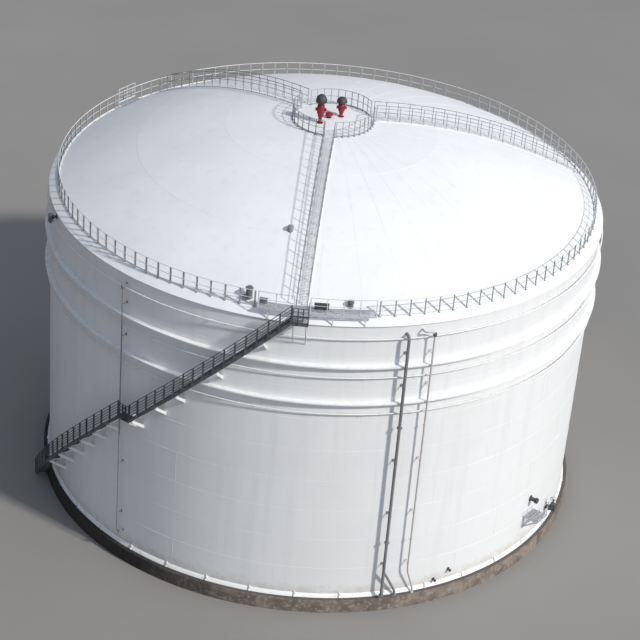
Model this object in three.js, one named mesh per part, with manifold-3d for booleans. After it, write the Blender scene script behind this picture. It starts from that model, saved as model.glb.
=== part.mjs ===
// Fixed-roof oil storage tank on its foundation: a welded steel shell with a dome roof,
// two wind girders, a spiral stair, roof walkways, railings, risers and shell fittings.
// Millimetres, +Z up. The origin is the centre of the foundation's underside. Azimuths are
// degrees counter-clockwise from +X, seen from above, and the stair is on the -Y side.

import * as THREE from 'three';
import { mergeVertices } from 'three/addons/utils/BufferGeometryUtils.js';
import Module from 'manifold-3d';

const wasm = await Module();
wasm.setup();

// Driving dimensions of the tank and its foundation
const SHELL_DIAMETER = 37000;
const SHELL_HEIGHT = 20250;
const SHELL_SIDES = 60;
const SHELL_SEGMENTS = 6;
const SHELL_PLATES = [20, 14, 9];
const DOME_RADIUS = 37000;
const ROOF_PLATE = 7;
const ROOF_GORES = 6;
const ROOF_RINGS = [1500, 4900, 8300, 11700, 15100];
const FOUNDATION_HEIGHT = 1000;
const FOUNDATION_LEDGE = 400;
const RING_WALL_WIDTH = 800;
const BOTTOM_PLATE = 12;
const BOTTOM_LIP = 60;

// Rings round the shell
const CURB_LEG = 100;
const CURB_PLATE = 10;
const GIRDER_WIDTH = 350;
const GIRDER_PLATE = 8;
const GIRDER_LIP = 90;
const GIRDER_LEVELS = { wind_girder_upper: 17500, wind_girder_lower: 14900 };
const SPRAY_LEVELS = { spray_ring_upper: 19400, spray_ring_middle: 16700, spray_ring_lower: 14100 };
const SPRAY_RADIUS = 45;
const SPRAY_OFFSET = 180;
const SPRAY_SIDES = 30;
const SPRAY_BRACKET = 40;

// Stair, platforms and railings
const STAIR_INNER_OFFSET = 450;
const STAIR_OUTER_OFFSET = 1150;
const STAIR_RISERS = 110;
const LOWER_FLIGHT_RISERS = 59;
const STAIR_GOING = 0.6;
const STAIR_HEAD = -94.2;
const LANDING_SPAN = 2.5;
const HEAD_SPAN = 2.9;
const HEAD_RISE = 500;
const STAIR_BAYS = 8;
const STRINGER_PLATE = 12;
const STRINGER_DEPTH = 290;
const STRINGER_FREEBOARD = 20;
const TREAD_DEPTH = 230;
const TREAD_PLATE = 30;
const BRACKET_DROP = 1300;
const BRACKET_WIDTH = 60;
const BRACKET_LEG = 70;
const BRACKET_TIP = 50;
const LOWER_BRACKETS = [-151.5, -147, -142.6, -138.5, -134.5, -130.5];
const UPPER_BRACKETS = [-124.2, -119, -114.8, -107.2, -99];
const HEAD_STRUT_LEVEL = -1400;
const HEAD_STRUT_DEPTH = 150;
const END_RAIL_INSET = 200;
const HANDRAIL_END = 0.2;
const RAIL_HEIGHT = 1100;
const RAIL_SIZE = 45;
const POST_SIZE = 38;
const PLATFORM_RISE = 700;
const PLATFORM_PLATE = 40;
const PLATFORM_FROM = -101;
const PLATFORM_TO = -79;
const PLATFORM_BAY = 3;
const PLATFORM_INNER = 17750;
const PLATFORM_LEGS = [-99, -87, -81];
const TOE_PLATE = 100;
const EDGE_RAIL_RADIUS = 18000;
const WALKWAY_WIDTH = 700;
const WALKWAY_STRIP = 60;
const WALKWAY_BAYS = 9;
const WALKWAY_AZIMUTHS = [-93, 15, 135];
const REST_PLATFORM_AZIMUTH = 147;
const REST_PLATFORM_WIDTH = 1800;
const REST_PLATFORM_DEPTH = 700;
const REST_PLATFORM_OUTER = 17700;
const CENTRE_RAIL_RADIUS = 2700;
const RISER_BRACKETS = [2500, 6500, 10500, 16000, 18300];
const RISER_BRACKET = 50;

// Clearance between two pieces that rest on or against each other
const SEAT = 0.3;

// Values worked out from the driving dimensions
const R = SHELL_DIAMETER / 2;
const FACET = 360 / SHELL_SIDES;
const FOUNDATION_RADIUS = R + FOUNDATION_LEDGE;
const BASE = FOUNDATION_HEIGHT + BOTTOM_PLATE + 2 * SEAT;
const TOP = BASE + SHELL_HEIGHT;
const ROOF_EDGE = R + CURB_LEG;
const ROOF_STATIONS = [...ROOF_RINGS, ROOF_EDGE];
const PLATFORM_LEVEL = TOP + PLATFORM_RISE;
const HEAD_LEVEL = TOP + HEAD_RISE;
const RISER = HEAD_LEVEL / STAIR_RISERS;
const STAIR_RISE_PER_DEGREE = RISER / STAIR_GOING;
const LANDING_LEVEL = LOWER_FLIGHT_RISERS * RISER;
const LANDING_TO = STAIR_HEAD - (STAIR_RISERS - LOWER_FLIGHT_RISERS) * STAIR_GOING;
const LANDING_FROM = LANDING_TO - LANDING_SPAN;
const STAIR_INNER = R + STAIR_INNER_OFFSET;
const STAIR_OUTER = R + STAIR_OUTER_OFFSET;

function paint(color, roughness, metalness) {
  return new THREE.MeshStandardMaterial({ color, roughness, metalness, flatShading: true });
}
const white = paint(0xe6e8e6, 0.5, 0.1);
const roofWhite = paint(0xdfe1e0, 0.6, 0.1);
const darkGrey = paint(0x4a4d50, 0.6, 0.3);
const galvanised = paint(0xa9adae, 0.5, 0.6);
const valveRed = paint(0xa3201f, 0.5, 0.1);
const concrete = paint(0x8d7a68, 0.9, 0);
const sandFill = paint(0x9a8462, 1, 0);

const tank = new THREE.Group();

function place(name, geometry, material, azimuth = 0) {
  const mesh = new THREE.Mesh(geometry, material.clone());
  mesh.name = name;
  mesh.rotation.z = THREE.MathUtils.degToRad(azimuth);
  tank.add(mesh);
  return mesh;
}

// A closed body from corner points and triangles, turned so that its faces point out.
function body(points, triangles) {
  let volume = 0;
  for (const [a, b, c] of triangles) {
    volume += points[a].dot(new THREE.Vector3().crossVectors(points[b], points[c]));
  }
  const faces = volume < 0 ? triangles.map(([a, b, c]) => [a, c, b]) : triangles;
  const geometry = new THREE.BufferGeometry();
  geometry.setAttribute('position',
    new THREE.Float32BufferAttribute(points.flatMap((p) => [p.x, p.y, p.z]), 3));
  geometry.setIndex(faces.flat());
  return geometry;
}

// A profile of [radius, height] points swept round the tank's axis between two azimuths.
// A rise lifts it evenly on the way, as a stringer climbs. Points on the axis are shared.
function sweep(profile, from, to, steps, rise = 0) {
  const closed = to - from >= 360;
  const rings = closed ? steps : steps + 1;
  const points = [];
  const number = [];
  const onAxis = new Map();
  for (let i = 0; i < rings; i++) {
    const angle = THREE.MathUtils.degToRad(from + (to - from) * i / steps);
    number.push(profile.map(([r, z], j) => {
      if (r === 0 && onAxis.has(j)) return onAxis.get(j);
      points.push(new THREE.Vector3(r * Math.cos(angle), r * Math.sin(angle), z + rise * i / steps));
      if (r === 0) onAxis.set(j, points.length - 1);
      return points.length - 1;
    }));
  }
  const triangles = [];
  for (let i = 0; i < steps; i++) {
    const here = number[i];
    const next = number[(i + 1) % rings];
    for (let j = 0; j < profile.length; j++) {
      const k = (j + 1) % profile.length;
      triangles.push([here[j], here[k], next[j]], [here[k], next[k], next[j]]);
    }
  }
  if (!closed) {
    const outline = profile.map(([r, z]) => new THREE.Vector2(r, z));
    const order = THREE.ShapeUtils.isClockWise(outline) ? 1 : -1;
    for (const [a, b, c] of THREE.ShapeUtils.triangulateShape(outline, [])) {
      const first = number[0];
      const last = number[steps];
      triangles.push(order > 0 ? [first[a], first[b], first[c]] : [first[a], first[c], first[b]]);
      triangles.push(order > 0 ? [last[a], last[c], last[b]] : [last[a], last[b], last[c]]);
    }
  }
  return body(points, consistent(triangles.filter(([a, b, c]) => a !== b && b !== c && a !== c)));
}

// Turns triangles that share an edge the same way round, starting from the first one.
function consistent(triangles) {
  const edges = new Map();
  const key = (a, b) => (a < b ? `${a} ${b}` : `${b} ${a}`);
  triangles.forEach((t, i) => t.forEach((a, n) => {
    const name = key(a, t[(n + 1) % 3]);
    edges.set(name, [...(edges.get(name) ?? []), i]);
  }));
  const done = new Set([0]);
  const queue = [0];
  const runs = (t, a, b) => t.some((v, n) => v === a && t[(n + 1) % 3] === b);
  while (queue.length) {
    const t = triangles[queue.pop()];
    t.forEach((a, n) => {
      const b = t[(n + 1) % 3];
      for (const other of edges.get(key(a, b))) {
        if (done.has(other)) continue;
        if (runs(triangles[other], a, b)) triangles[other].reverse();
        done.add(other);
        queue.push(other);
      }
    });
  }
  return triangles;
}

// A rectangle profile for sweep, from two radii and two heights.
function rectangle(r0, r1, z0, z1) {
  return [[r0, z0], [r1, z0], [r1, z1], [r0, z1]];
}

// A box given by its extent along the radius, across it and upwards, then turned to its azimuth.
function bar([x0, x1], [y0, y1], [z0, z1], azimuth = 0) {
  return new THREE.BoxGeometry(x1 - x0, y1 - y0, z1 - z0)
    .translate((x0 + x1) / 2, (y0 + y1) / 2, (z0 + z1) / 2)
    .rotateZ(THREE.MathUtils.degToRad(azimuth));
}

// A plate standing in a radial plane: a clockwise outline of [radius, height] points and a
// counter-clockwise hole.
function radialPlate(outline, width, azimuth = 0, across = 0, hole = null) {
  const shape = new THREE.Shape(outline.map(([r, z]) => new THREE.Vector2(r, z)));
  if (hole) shape.holes.push(new THREE.Path(hole.map(([r, z]) => new THREE.Vector2(r, z))));
  return new THREE.ExtrudeGeometry(shape, { depth: width, bevelEnabled: false })
    .rotateX(Math.PI / 2)
    .translate(0, across + width / 2, 0)
    .rotateZ(THREE.MathUtils.degToRad(azimuth));
}

// A pipe along straight runs, mitred at each corner.
function pipe(corners, radius, sides = 8) {
  const path = corners.map(([x, y, z]) => new THREE.Vector3(x, y, z));
  const heading = (i) => path[i + 1].clone().sub(path[i]).normalize();
  const first = heading(0);
  const helper = Math.abs(first.z) < 0.9 ? new THREE.Vector3(0, 0, 1) : new THREE.Vector3(1, 0, 0);
  const u = new THREE.Vector3().crossVectors(first, helper).normalize();
  const v = new THREE.Vector3().crossVectors(first, u);
  let ring = [];
  for (let k = 0; k < sides; k++) {
    const angle = 2 * Math.PI * k / sides;
    ring.push(path[0].clone().addScaledVector(u, radius * Math.cos(angle))
      .addScaledVector(v, radius * Math.sin(angle)));
  }
  const points = [...ring];
  for (let i = 1; i < path.length; i++) {
    const along = heading(i - 1);
    const onward = i + 1 < path.length ? heading(i) : along;
    const mitre = along.clone().add(onward).normalize();
    ring = ring.map((p) => {
      const distance = path[i].clone().sub(p).dot(mitre) / along.dot(mitre);
      return p.clone().addScaledVector(along, distance);
    });
    points.push(...ring);
  }
  const triangles = [];
  for (let i = 0; i + 1 < path.length; i++) {
    for (let k = 0; k < sides; k++) {
      const a = i * sides + k;
      const b = i * sides + (k + 1) % sides;
      triangles.push([a, b, a + sides], [b, b + sides, a + sides]);
    }
  }
  const end = (path.length - 1) * sides;
  for (let k = 1; k + 1 < sides; k++) {
    triangles.push([0, k + 1, k], [end, end + k, end + k + 1]);
  }
  return body(points, triangles);
}

// A round piece on an upright axis from [radius, height] points that start and end on the axis.
function turned(profile, sides) {
  return sweep(profile, 0, 360, sides);
}

function toManifold(geometry) {
  const bare = geometry.clone();
  bare.deleteAttribute('normal');
  bare.deleteAttribute('uv');
  const merged = mergeVertices(bare, 0.01);
  return new wasm.Manifold(new wasm.Mesh({
    numProp: 3,
    vertProperties: merged.attributes.position.array,
    triVerts: new Uint32Array(merged.index.array),
  }));
}

function fromManifold(whole) {
  const mesh = whole.getMesh();
  const geometry = new THREE.BufferGeometry();
  geometry.setAttribute('position', new THREE.Float32BufferAttribute(mesh.vertProperties, 3));
  geometry.setIndex(new THREE.Uint32BufferAttribute(mesh.triVerts, 1));
  return geometry;
}

// One solid from overlapping ones.
function join(geometries) {
  return fromManifold(geometries.map(toManifold).reduce((sum, next) => sum.add(next)));
}

// A solid with other solids taken away.
function cut(geometry, tools) {
  const left = tools.map(toManifold).reduce((rest, tool) => rest.subtract(tool), toManifold(geometry));
  return fromManifold(left);
}

const polar = (r, azimuth, z) => {
  const angle = THREE.MathUtils.degToRad(azimuth);
  return [r * Math.cos(angle), r * Math.sin(angle), z];
};

// Distance from the axis to a flat-sided ring's face, at an azimuth, for a corner radius.
function facetRadius(cornerRadius, azimuth, facet = FACET) {
  const fromCorner = ((azimuth % facet) + facet) % facet;
  const half = THREE.MathUtils.degToRad(facet / 2);
  return cornerRadius * Math.cos(half) / Math.cos(THREE.MathUtils.degToRad(fromCorner) - half);
}

// Distance from the axis at which a flat end, square to its own azimuth, meets the shell's facet.
function wallRadius(azimuth, half) {
  const fromMiddle = ((azimuth % FACET) + FACET) % FACET - FACET / 2;
  const lean = Math.tan(THREE.MathUtils.degToRad(Math.abs(fromMiddle)));
  return facetRadius(R, azimuth) + half * lean + SEAT;
}

// Height of the roof plate's top face over a radius, on the seam lines between facets.
function roofSeam(radius) {
  const drop = (r) => Math.sqrt(DOME_RADIUS ** 2 - r ** 2);
  const height = (r) => drop(r) - drop(ROOF_EDGE);
  const last = ROOF_STATIONS.length - 1;
  let i = 1;
  while (i < last && ROOF_STATIONS[i] < radius) i++;
  const [r0, r1] = [ROOF_STATIONS[i - 1], ROOF_STATIONS[i]];
  const share = (radius - r0) / (r1 - r0);
  return TOP + SEAT + ROOF_PLATE + height(r0) + share * (height(r1) - height(r0));
}

// Height of the roof plate's top face over a radius and an azimuth.
function roofTop(radius, azimuth) {
  return roofSeam(radius * R / facetRadius(R, azimuth));
}

// Walking level of the stair at an azimuth.
function stairLevel(azimuth) {
  if (azimuth >= LANDING_TO) return LANDING_LEVEL + (azimuth - LANDING_TO) * STAIR_RISE_PER_DEGREE;
  return LANDING_LEVEL - (LANDING_FROM - azimuth) * STAIR_RISE_PER_DEGREE;
}

// Foundation: a concrete ring wall round compacted sand
place('foundation_ring_wall', sweep(
  rectangle(FOUNDATION_RADIUS - RING_WALL_WIDTH, FOUNDATION_RADIUS, 0, FOUNDATION_HEIGHT),
  0, 360, SHELL_SIDES), concrete);
place('foundation_fill', turned([
  [0, 0], [FOUNDATION_RADIUS - RING_WALL_WIDTH - SEAT, 0],
  [FOUNDATION_RADIUS - RING_WALL_WIDTH - SEAT, FOUNDATION_HEIGHT], [0, FOUNDATION_HEIGHT],
], SHELL_SIDES), sandFill);

// Bottom plate, with a lip that shows outside the shell
place('bottom_plate', turned([
  [0, FOUNDATION_HEIGHT + SEAT], [R + BOTTOM_LIP, FOUNDATION_HEIGHT + SEAT],
  [R + BOTTOM_LIP, BASE - SEAT], [0, BASE - SEAT],
], SHELL_SIDES), white);

// Shell: upright segments, thick plate below and thin above, flush on the outside
function shellSegment() {
  const band = SHELL_HEIGHT / SHELL_PLATES.length;
  const profile = [[R, BASE], [R, TOP]];
  for (let i = SHELL_PLATES.length - 1; i >= 0; i--) {
    profile.push([R - SHELL_PLATES[i], BASE + (i + 1) * band], [R - SHELL_PLATES[i], BASE + i * band]);
  }
  const joint = THREE.MathUtils.radToDeg(SEAT / 2 / R);
  const span = 360 / SHELL_SEGMENTS;
  return sweep(profile, joint, span - joint, SHELL_SIDES / SHELL_SEGMENTS);
}
for (let i = 0; i < SHELL_SEGMENTS; i++) {
  place(`shell_segment_${i + 1}`, shellSegment(), white, i * 360 / SHELL_SEGMENTS);
}

// Curb angle round the top of the shell, its flat leg under the roof's edge
place('curb_angle', sweep([
  [R + SEAT, TOP], [ROOF_EDGE, TOP], [ROOF_EDGE, TOP - CURB_PLATE],
  [R + SEAT + CURB_PLATE, TOP - CURB_PLATE], [R + SEAT + CURB_PLATE, TOP - CURB_LEG],
  [R + SEAT, TOP - CURB_LEG],
], 0, 360, SHELL_SIDES), white);

// Wind girders: a flat ring plate with a turned-down lip
for (const [name, level] of Object.entries(GIRDER_LEVELS)) {
  const z = BASE + level;
  const outer = R + GIRDER_WIDTH;
  place(name, sweep([
    [R + SEAT, z], [outer, z], [outer, z - GIRDER_LIP], [outer - GIRDER_PLATE, z - GIRDER_LIP],
    [outer - GIRDER_PLATE, z - GIRDER_PLATE], [R + SEAT, z - GIRDER_PLATE],
  ], 0, 360, SHELL_SIDES), white);
}

// Cooling water rings on short wall brackets
for (const [name, level] of Object.entries(SPRAY_LEVELS)) {
  const z = BASE + level;
  const r = R + SPRAY_OFFSET;
  const pieces = [sweep([
    [r + SPRAY_RADIUS, z], [r, z + SPRAY_RADIUS], [r - SPRAY_RADIUS, z], [r, z - SPRAY_RADIUS],
  ], 0, 360, SPRAY_SIDES)];
  const half = SPRAY_BRACKET / 2;
  for (let azimuth = 0; azimuth < 360; azimuth += 60) {
    pieces.push(bar([R + SEAT, r], [-half, half], [z - half, z + half], azimuth));
  }
  place(name, join(pieces), white);
}

// Roof: curved gores round a centre plate
function roofGore() {
  const upper = ROOF_STATIONS.map((r) => [r, roofSeam(r)]);
  const lower = upper.map(([r, z]) => [r, z - ROOF_PLATE]).reverse();
  const joint = THREE.MathUtils.radToDeg(SEAT / ROOF_RINGS[0]);
  const span = 360 / ROOF_GORES;
  return sweep([...upper, ...lower], joint / 2, span - joint / 2, SHELL_SIDES / ROOF_GORES);
}
for (let i = 0; i < ROOF_GORES; i++) {
  place(`roof_gore_${i + 1}`, roofGore(), roofWhite, i * 360 / ROOF_GORES);
}
const centreEdge = ROOF_RINGS[0] - SEAT;
const centreCrown = roofSeam(ROOF_RINGS[0]) + 30;
place('roof_centre_plate', turned([
  [0, centreCrown - ROOF_PLATE], [centreEdge, roofSeam(ROOF_RINGS[0]) - ROOF_PLATE],
  [centreEdge, roofSeam(ROOF_RINGS[0])], [0, centreCrown],
], SHELL_SIDES), roofWhite);

// A post of a railing that stands round the axis, from its radius, azimuth and two levels.
function post(radius, azimuth, low, high) {
  const half = POST_SIZE / 2;
  return bar([radius - half, radius + half], [-half, half], [low, high], azimuth);
}

// A railing on an arc: a top rail and a post at every corner.
function arcRailing(radius, from, to, bays, foot, top) {
  const half = RAIL_SIZE / 2;
  const endInset = THREE.MathUtils.radToDeg(POST_SIZE / 2 / radius);
  const pieces = [sweep(rectangle(radius - half, radius + half, top - RAIL_SIZE, top), from, to, bays)];
  for (let i = 0; i <= bays; i++) {
    const inset = i === 0 ? endInset : i === bays ? -endInset : 0;
    pieces.push(post(radius, from + (to - from) * i / bays + inset, foot, top - half));
  }
  return pieces;
}

// Railing round the roof's edge, open at the platform over the stair
function edgeRailing() {
  const foot = roofTop(EDGE_RAIL_RADIUS - POST_SIZE / 2, 0) + SEAT;
  const [from, to] = [PLATFORM_TO + 1, PLATFORM_FROM - 1 + 360];
  return join(arcRailing(EDGE_RAIL_RADIUS, from, to, (to - from) / FACET, foot, foot + RAIL_HEIGHT));
}
place('roof_edge_railing', edgeRailing(), white);

// Radial walkways up the dome: a deck strip, and a railing on each side that stands on it
const WALKWAY_INNER = CENTRE_RAIL_RADIUS + 120;
const WALKWAY_OUTER = PLATFORM_INNER - 40;
function walkwayStrip(low, high, width, across) {
  const bends = ROOF_RINGS.map((r) => r * facetRadius(R, FACET / 2) / R);
  const between = bends.filter((r) => r > WALKWAY_INNER && r < WALKWAY_OUTER);
  const stations = [WALKWAY_INNER, ...between, WALKWAY_OUTER];
  const line = (lift) => stations.map((r) => [r, roofTop(r, FACET / 2) + SEAT + lift]);
  return radialPlate([...line(low), ...line(high).reverse()], width, 0, across);
}
function walkwayRailing(across) {
  const half = POST_SIZE / 2;
  const top = WALKWAY_STRIP + RAIL_HEIGHT;
  const bay = (WALKWAY_OUTER - WALKWAY_INNER - 2 * POST_SIZE) / WALKWAY_BAYS;
  const pieces = [walkwayStrip(top - RAIL_SIZE, top, RAIL_SIZE, across)];
  for (let i = 0; i <= WALKWAY_BAYS; i++) {
    const r = WALKWAY_INNER + POST_SIZE + bay * i;
    const foot = roofTop(r - half, FACET / 2) + WALKWAY_STRIP + 2 * SEAT;
    const head = roofTop(r, FACET / 2) + top - RAIL_SIZE / 2;
    pieces.push(bar([r - half, r + half], [across - half, across + half], [foot, head]));
  }
  return join(pieces);
}
WALKWAY_AZIMUTHS.forEach((azimuth, i) => {
  const name = `roof_walkway_${i + 1}`;
  const across = (WALKWAY_WIDTH - RAIL_SIZE) / 2;
  place(`${name}_deck`, walkwayStrip(0, WALKWAY_STRIP, WALKWAY_WIDTH, 0), galvanised, azimuth);
  place(`${name}_left_railing`, walkwayRailing(across), darkGrey, azimuth);
  place(`${name}_right_railing`, walkwayRailing(-across), darkGrey, azimuth);
});

// Railing round the roof's centre, in three arcs between the walkways
function centreRailing(span) {
  const gate = THREE.MathUtils.radToDeg((WALKWAY_WIDTH / 2 + RAIL_SIZE) / CENTRE_RAIL_RADIUS);
  const foot = roofSeam(CENTRE_RAIL_RADIUS - POST_SIZE / 2) + SEAT;
  return join(arcRailing(CENTRE_RAIL_RADIUS, gate, span - gate, 5, foot, foot + RAIL_HEIGHT));
}
WALKWAY_AZIMUTHS.forEach((azimuth, i) => {
  const next = WALKWAY_AZIMUTHS[i + 1] ?? WALKWAY_AZIMUTHS[0] + 360;
  place(`centre_railing_${i + 1}`, centreRailing(next - azimuth), white, azimuth);
});

// Breather valves on the centre plate: flanged neck, body and cowl, and a low vent between them
function breatherValve(girth, rise) {
  return turned([
    [0, 0], [260, 0], [260, 40], [150, 40], [150, 500], [280, 560], [300, 1100], [200, 1180],
    [200, 1300], [440, 1320], [400, 1560], [180, 1760], [0, 1800],
  ].map(([r, z]) => [r * girth, z * rise]), 10);
}
function lowVent() {
  return turned([[0, 0], [170, 0], [170, 40], [110, 40], [110, 180], [250, 200], [250, 330], [120, 380],
    [0, 385]], 10);
}
const CROWN_FITTINGS = [
  ['breather_valve_large', breatherValve(0.85, 1.15), 260 * 0.85, -850, -750],
  ['breather_valve_small', breatherValve(0.8, 0.8), 260 * 0.8, 500, 500],
  ['crown_vent', lowVent(), 170, -280, 150],
];
for (const [name, geometry, foot, x, y] of CROWN_FITTINGS) {
  const crownSlope = (centreCrown - roofSeam(ROOF_RINGS[0])) / centreEdge;
  const nearest = Math.max(Math.hypot(x, y) - foot, 0);
  place(name, geometry, valveRed).position.set(x, y, centreCrown - nearest * crownSlope + SEAT);
}

// Hatches on the roof, each a short neck with a lid
function hatch(radius, height) {
  return turned([
    [0, 0], [radius, 0], [radius, height], [radius * 1.25, height],
    [radius * 1.25, height + 60], [0, height + 80],
  ], 12);
}
function placeOnRoof(name, geometry, material, radius, azimuth, footprint) {
  const [x, y] = polar(radius, azimuth, 0);
  let level = 0;
  for (let turn = 0; turn < 360; turn += 30) {
    const [dx, dy] = polar(footprint, turn, 0);
    const under = THREE.MathUtils.radToDeg(Math.atan2(y + dy, x + dx));
    level = Math.max(level, roofTop(Math.hypot(x + dx, y + dy), under));
  }
  place(name, geometry, material).position.set(x, y, level + SEAT);
}
placeOnRoof('roof_hatch', hatch(170, 250), darkGrey, 12480, -99.4, 170);
placeOnRoof('gauge_hatch', hatch(200, 650), darkGrey, 17550, -103.6, 200);
placeOnRoof('sampling_hatch', hatch(170, 300), darkGrey, 17400, -83.5, 170);

// Platform along the roof's edge at the head of the stair, with its railing outside
function edgePlatform() {
  const level = PLATFORM_LEVEL;
  const railRadius = ROOF_EDGE - RAIL_SIZE;
  const bays = (from, to) => Math.round((to - from) / PLATFORM_BAY);
  const pieces = [sweep(rectangle(PLATFORM_INNER, ROOF_EDGE, level - PLATFORM_PLATE, level),
    PLATFORM_FROM, PLATFORM_TO, bays(PLATFORM_FROM, PLATFORM_TO))];
  for (const [from, to] of [[PLATFORM_FROM, STAIR_HEAD], [STAIR_HEAD + HEAD_SPAN, PLATFORM_TO]]) {
    pieces.push(...arcRailing(railRadius, from, to, bays(from, to), level - PLATFORM_PLATE / 2,
      level + RAIL_HEIGHT));
  }
  for (const azimuth of PLATFORM_LEGS) {
    const foot = roofTop(railRadius - POST_SIZE / 2, azimuth) + SEAT;
    pieces.push(post(railRadius, azimuth, foot, level - PLATFORM_PLATE / 2));
  }
  return join(pieces);
}
place('edge_platform', edgePlatform(), galvanised);

// Rest platform at the roof's edge, past the outer end of the third walkway
function rimPlatform() {
  const [x0, x1] = [REST_PLATFORM_OUTER - REST_PLATFORM_DEPTH, REST_PLATFORM_OUTER];
  const [y0, y1] = [-REST_PLATFORM_WIDTH / 2, REST_PLATFORM_WIDTH / 2];
  const crown = Math.max(...[y0, (y0 + y1) / 2, y1].map((y) => {
    return roofTop(Math.hypot(x0, y), THREE.MathUtils.radToDeg(Math.atan2(y, x0)) + FACET / 2);
  }));
  const level = crown + SEAT + PLATFORM_PLATE;
  const half = POST_SIZE / 2;
  const pieces = [bar([x0, x1], [y0, y1], [level - PLATFORM_PLATE, level]),
    bar([x1 - RAIL_SIZE, x1], [y0, y1], [level + RAIL_HEIGHT - RAIL_SIZE, level + RAIL_HEIGHT])];
  for (const y of [y0 + half, (y0 + y1) / 2, y1 - half]) {
    const x = x1 - RAIL_SIZE / 2;
    pieces.push(bar([x - half, x + half], [y - half, y + half],
      [level - PLATFORM_PLATE / 2, level + RAIL_HEIGHT - RAIL_SIZE / 2]));
  }
  return join(pieces);
}
place('rim_platform', rimPlatform(), galvanised, REST_PLATFORM_AZIMUTH);

// An open triangular bracket from the shell's face out, under the stair's outer stringer unless told
function bracket(azimuth, level, out = STAIR_OUTER - STRINGER_PLATE / 2, drop = BRACKET_DROP) {
  const wall = wallRadius(azimuth, BRACKET_WIDTH / 2);
  const leg = BRACKET_LEG;
  const low = level - drop;
  return radialPlate(
    [[wall, level], [out, level], [out, level - BRACKET_TIP], [wall, low]], BRACKET_WIDTH, azimuth, 0,
    [[wall + leg, level - leg], [wall + leg, low + 2 * leg], [out - 3 * leg, level - leg]]);
}

// A stair flight: two stringers, the treads between them and brackets to the shell
function flight(from, to, risers, brackets) {
  const foot = stairLevel(from);
  const climb = stairLevel(to) - foot;
  const upper = foot + RISER + STRINGER_FREEBOARD;
  const stringer = (r) => sweep(rectangle(r, r + STRINGER_PLATE, upper - STRINGER_DEPTH, upper),
    from, to, STAIR_BAYS, climb);
  const middle = STRINGER_PLATE / 2;
  const pieces = [stringer(STAIR_INNER), stringer(STAIR_OUTER - STRINGER_PLATE)];
  for (let i = 1; i < risers; i++) {
    const level = foot + i * RISER;
    const azimuth = from + (i - 0.5) * STAIR_GOING;
    const ends = [STAIR_INNER + middle, STAIR_OUTER - middle].map((r) => {
      return facetRadius(r, azimuth - from, (to - from) / STAIR_BAYS);
    });
    pieces.push(bar(ends, [-TREAD_DEPTH / 2, TREAD_DEPTH / 2], [level - TREAD_PLATE, level], azimuth));
  }
  const reach = [-STAIR_OUTER - TREAD_DEPTH, STAIR_OUTER + TREAD_DEPTH];
  const low = Math.max(upper - STRINGER_DEPTH, 0);
  const high = foot + climb + TOE_PLATE;
  const below = bar(reach, reach, [low - STRINGER_DEPTH, low]);
  const above = bar(reach, reach, [high, high + STRINGER_DEPTH]);
  const supports = brackets.map((azimuth) => {
    return bracket(azimuth, stairLevel(azimuth) + RISER - STRINGER_DEPTH + 2 * STRINGER_FREEBOARD);
  });
  return join([cut(join(pieces), [below, above]), ...supports]);
}
const joint = THREE.MathUtils.radToDeg(SEAT / STAIR_INNER);
const stairFoot = LANDING_FROM - LOWER_FLIGHT_RISERS * STAIR_GOING;
place('stair_lower_flight', flight(stairFoot, LANDING_FROM, LOWER_FLIGHT_RISERS, LOWER_BRACKETS), darkGrey);
place('stair_upper_flight',
  flight(LANDING_TO, STAIR_HEAD, STAIR_RISERS - LOWER_FLIGHT_RISERS, UPPER_BRACKETS), darkGrey);

// Stair handrails: posts on the outer stringer's face and a top rail
function stairHandrail(from, to) {
  const foot = stairLevel(from);
  const climb = stairLevel(to) - foot;
  const radius = STAIR_OUTER + SEAT + POST_SIZE / 2;
  const half = RAIL_SIZE / 2;
  const top = foot + RISER + RAIL_HEIGHT;
  const pieces = [sweep(rectangle(radius - half, radius + half, top - RAIL_SIZE, top),
    from, to, STAIR_BAYS, climb)];
  for (let i = 0; i <= STAIR_BAYS; i++) {
    const inset = i === 0 ? HANDRAIL_END : i === STAIR_BAYS ? -HANDRAIL_END : 0;
    const azimuth = from + (to - from) * i / STAIR_BAYS + inset;
    const level = stairLevel(azimuth);
    pieces.push(post(radius, azimuth, level + SEAT, level + RISER + RAIL_HEIGHT - half));
  }
  return join(pieces);
}
place('stair_lower_handrail', stairHandrail(stairFoot, LANDING_FROM - joint), darkGrey);
place('stair_upper_handrail', stairHandrail(LANDING_TO + joint, STAIR_HEAD - joint), darkGrey);

// Landings: a floor plate with an outer railing and its own bracket
function landing(from, to, level, inner, support, endRail) {
  const radius = STAIR_OUTER + POST_SIZE / 2 - STRINGER_PLATE / 2;
  const pieces = [sweep(rectangle(inner, STAIR_OUTER, level - PLATFORM_PLATE, level), from, to, 2),
    ...arcRailing(radius, from, to, 2, level - PLATFORM_PLATE / 2, level + RAIL_HEIGHT), support];
  if (endRail) {
    const half = RAIL_SIZE / 2;
    const inset = to - THREE.MathUtils.radToDeg(RAIL_SIZE / inner);
    const start = inner + END_RAIL_INSET;
    pieces.push(bar([start, radius], [-half, half],
      [level + RAIL_HEIGHT - RAIL_SIZE, level + RAIL_HEIGHT], inset));
    pieces.push(post(start, inset, level - PLATFORM_PLATE / 2, level + RAIL_HEIGHT - half));
  }
  return join(pieces);
}
const landingMiddle = (LANDING_FROM + LANDING_TO) / 2;
place('stair_landing', landing(LANDING_FROM + joint, LANDING_TO - joint, LANDING_LEVEL, STAIR_INNER,
  bracket(landingMiddle, LANDING_LEVEL - PLATFORM_PLATE / 2), false), darkGrey);

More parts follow.
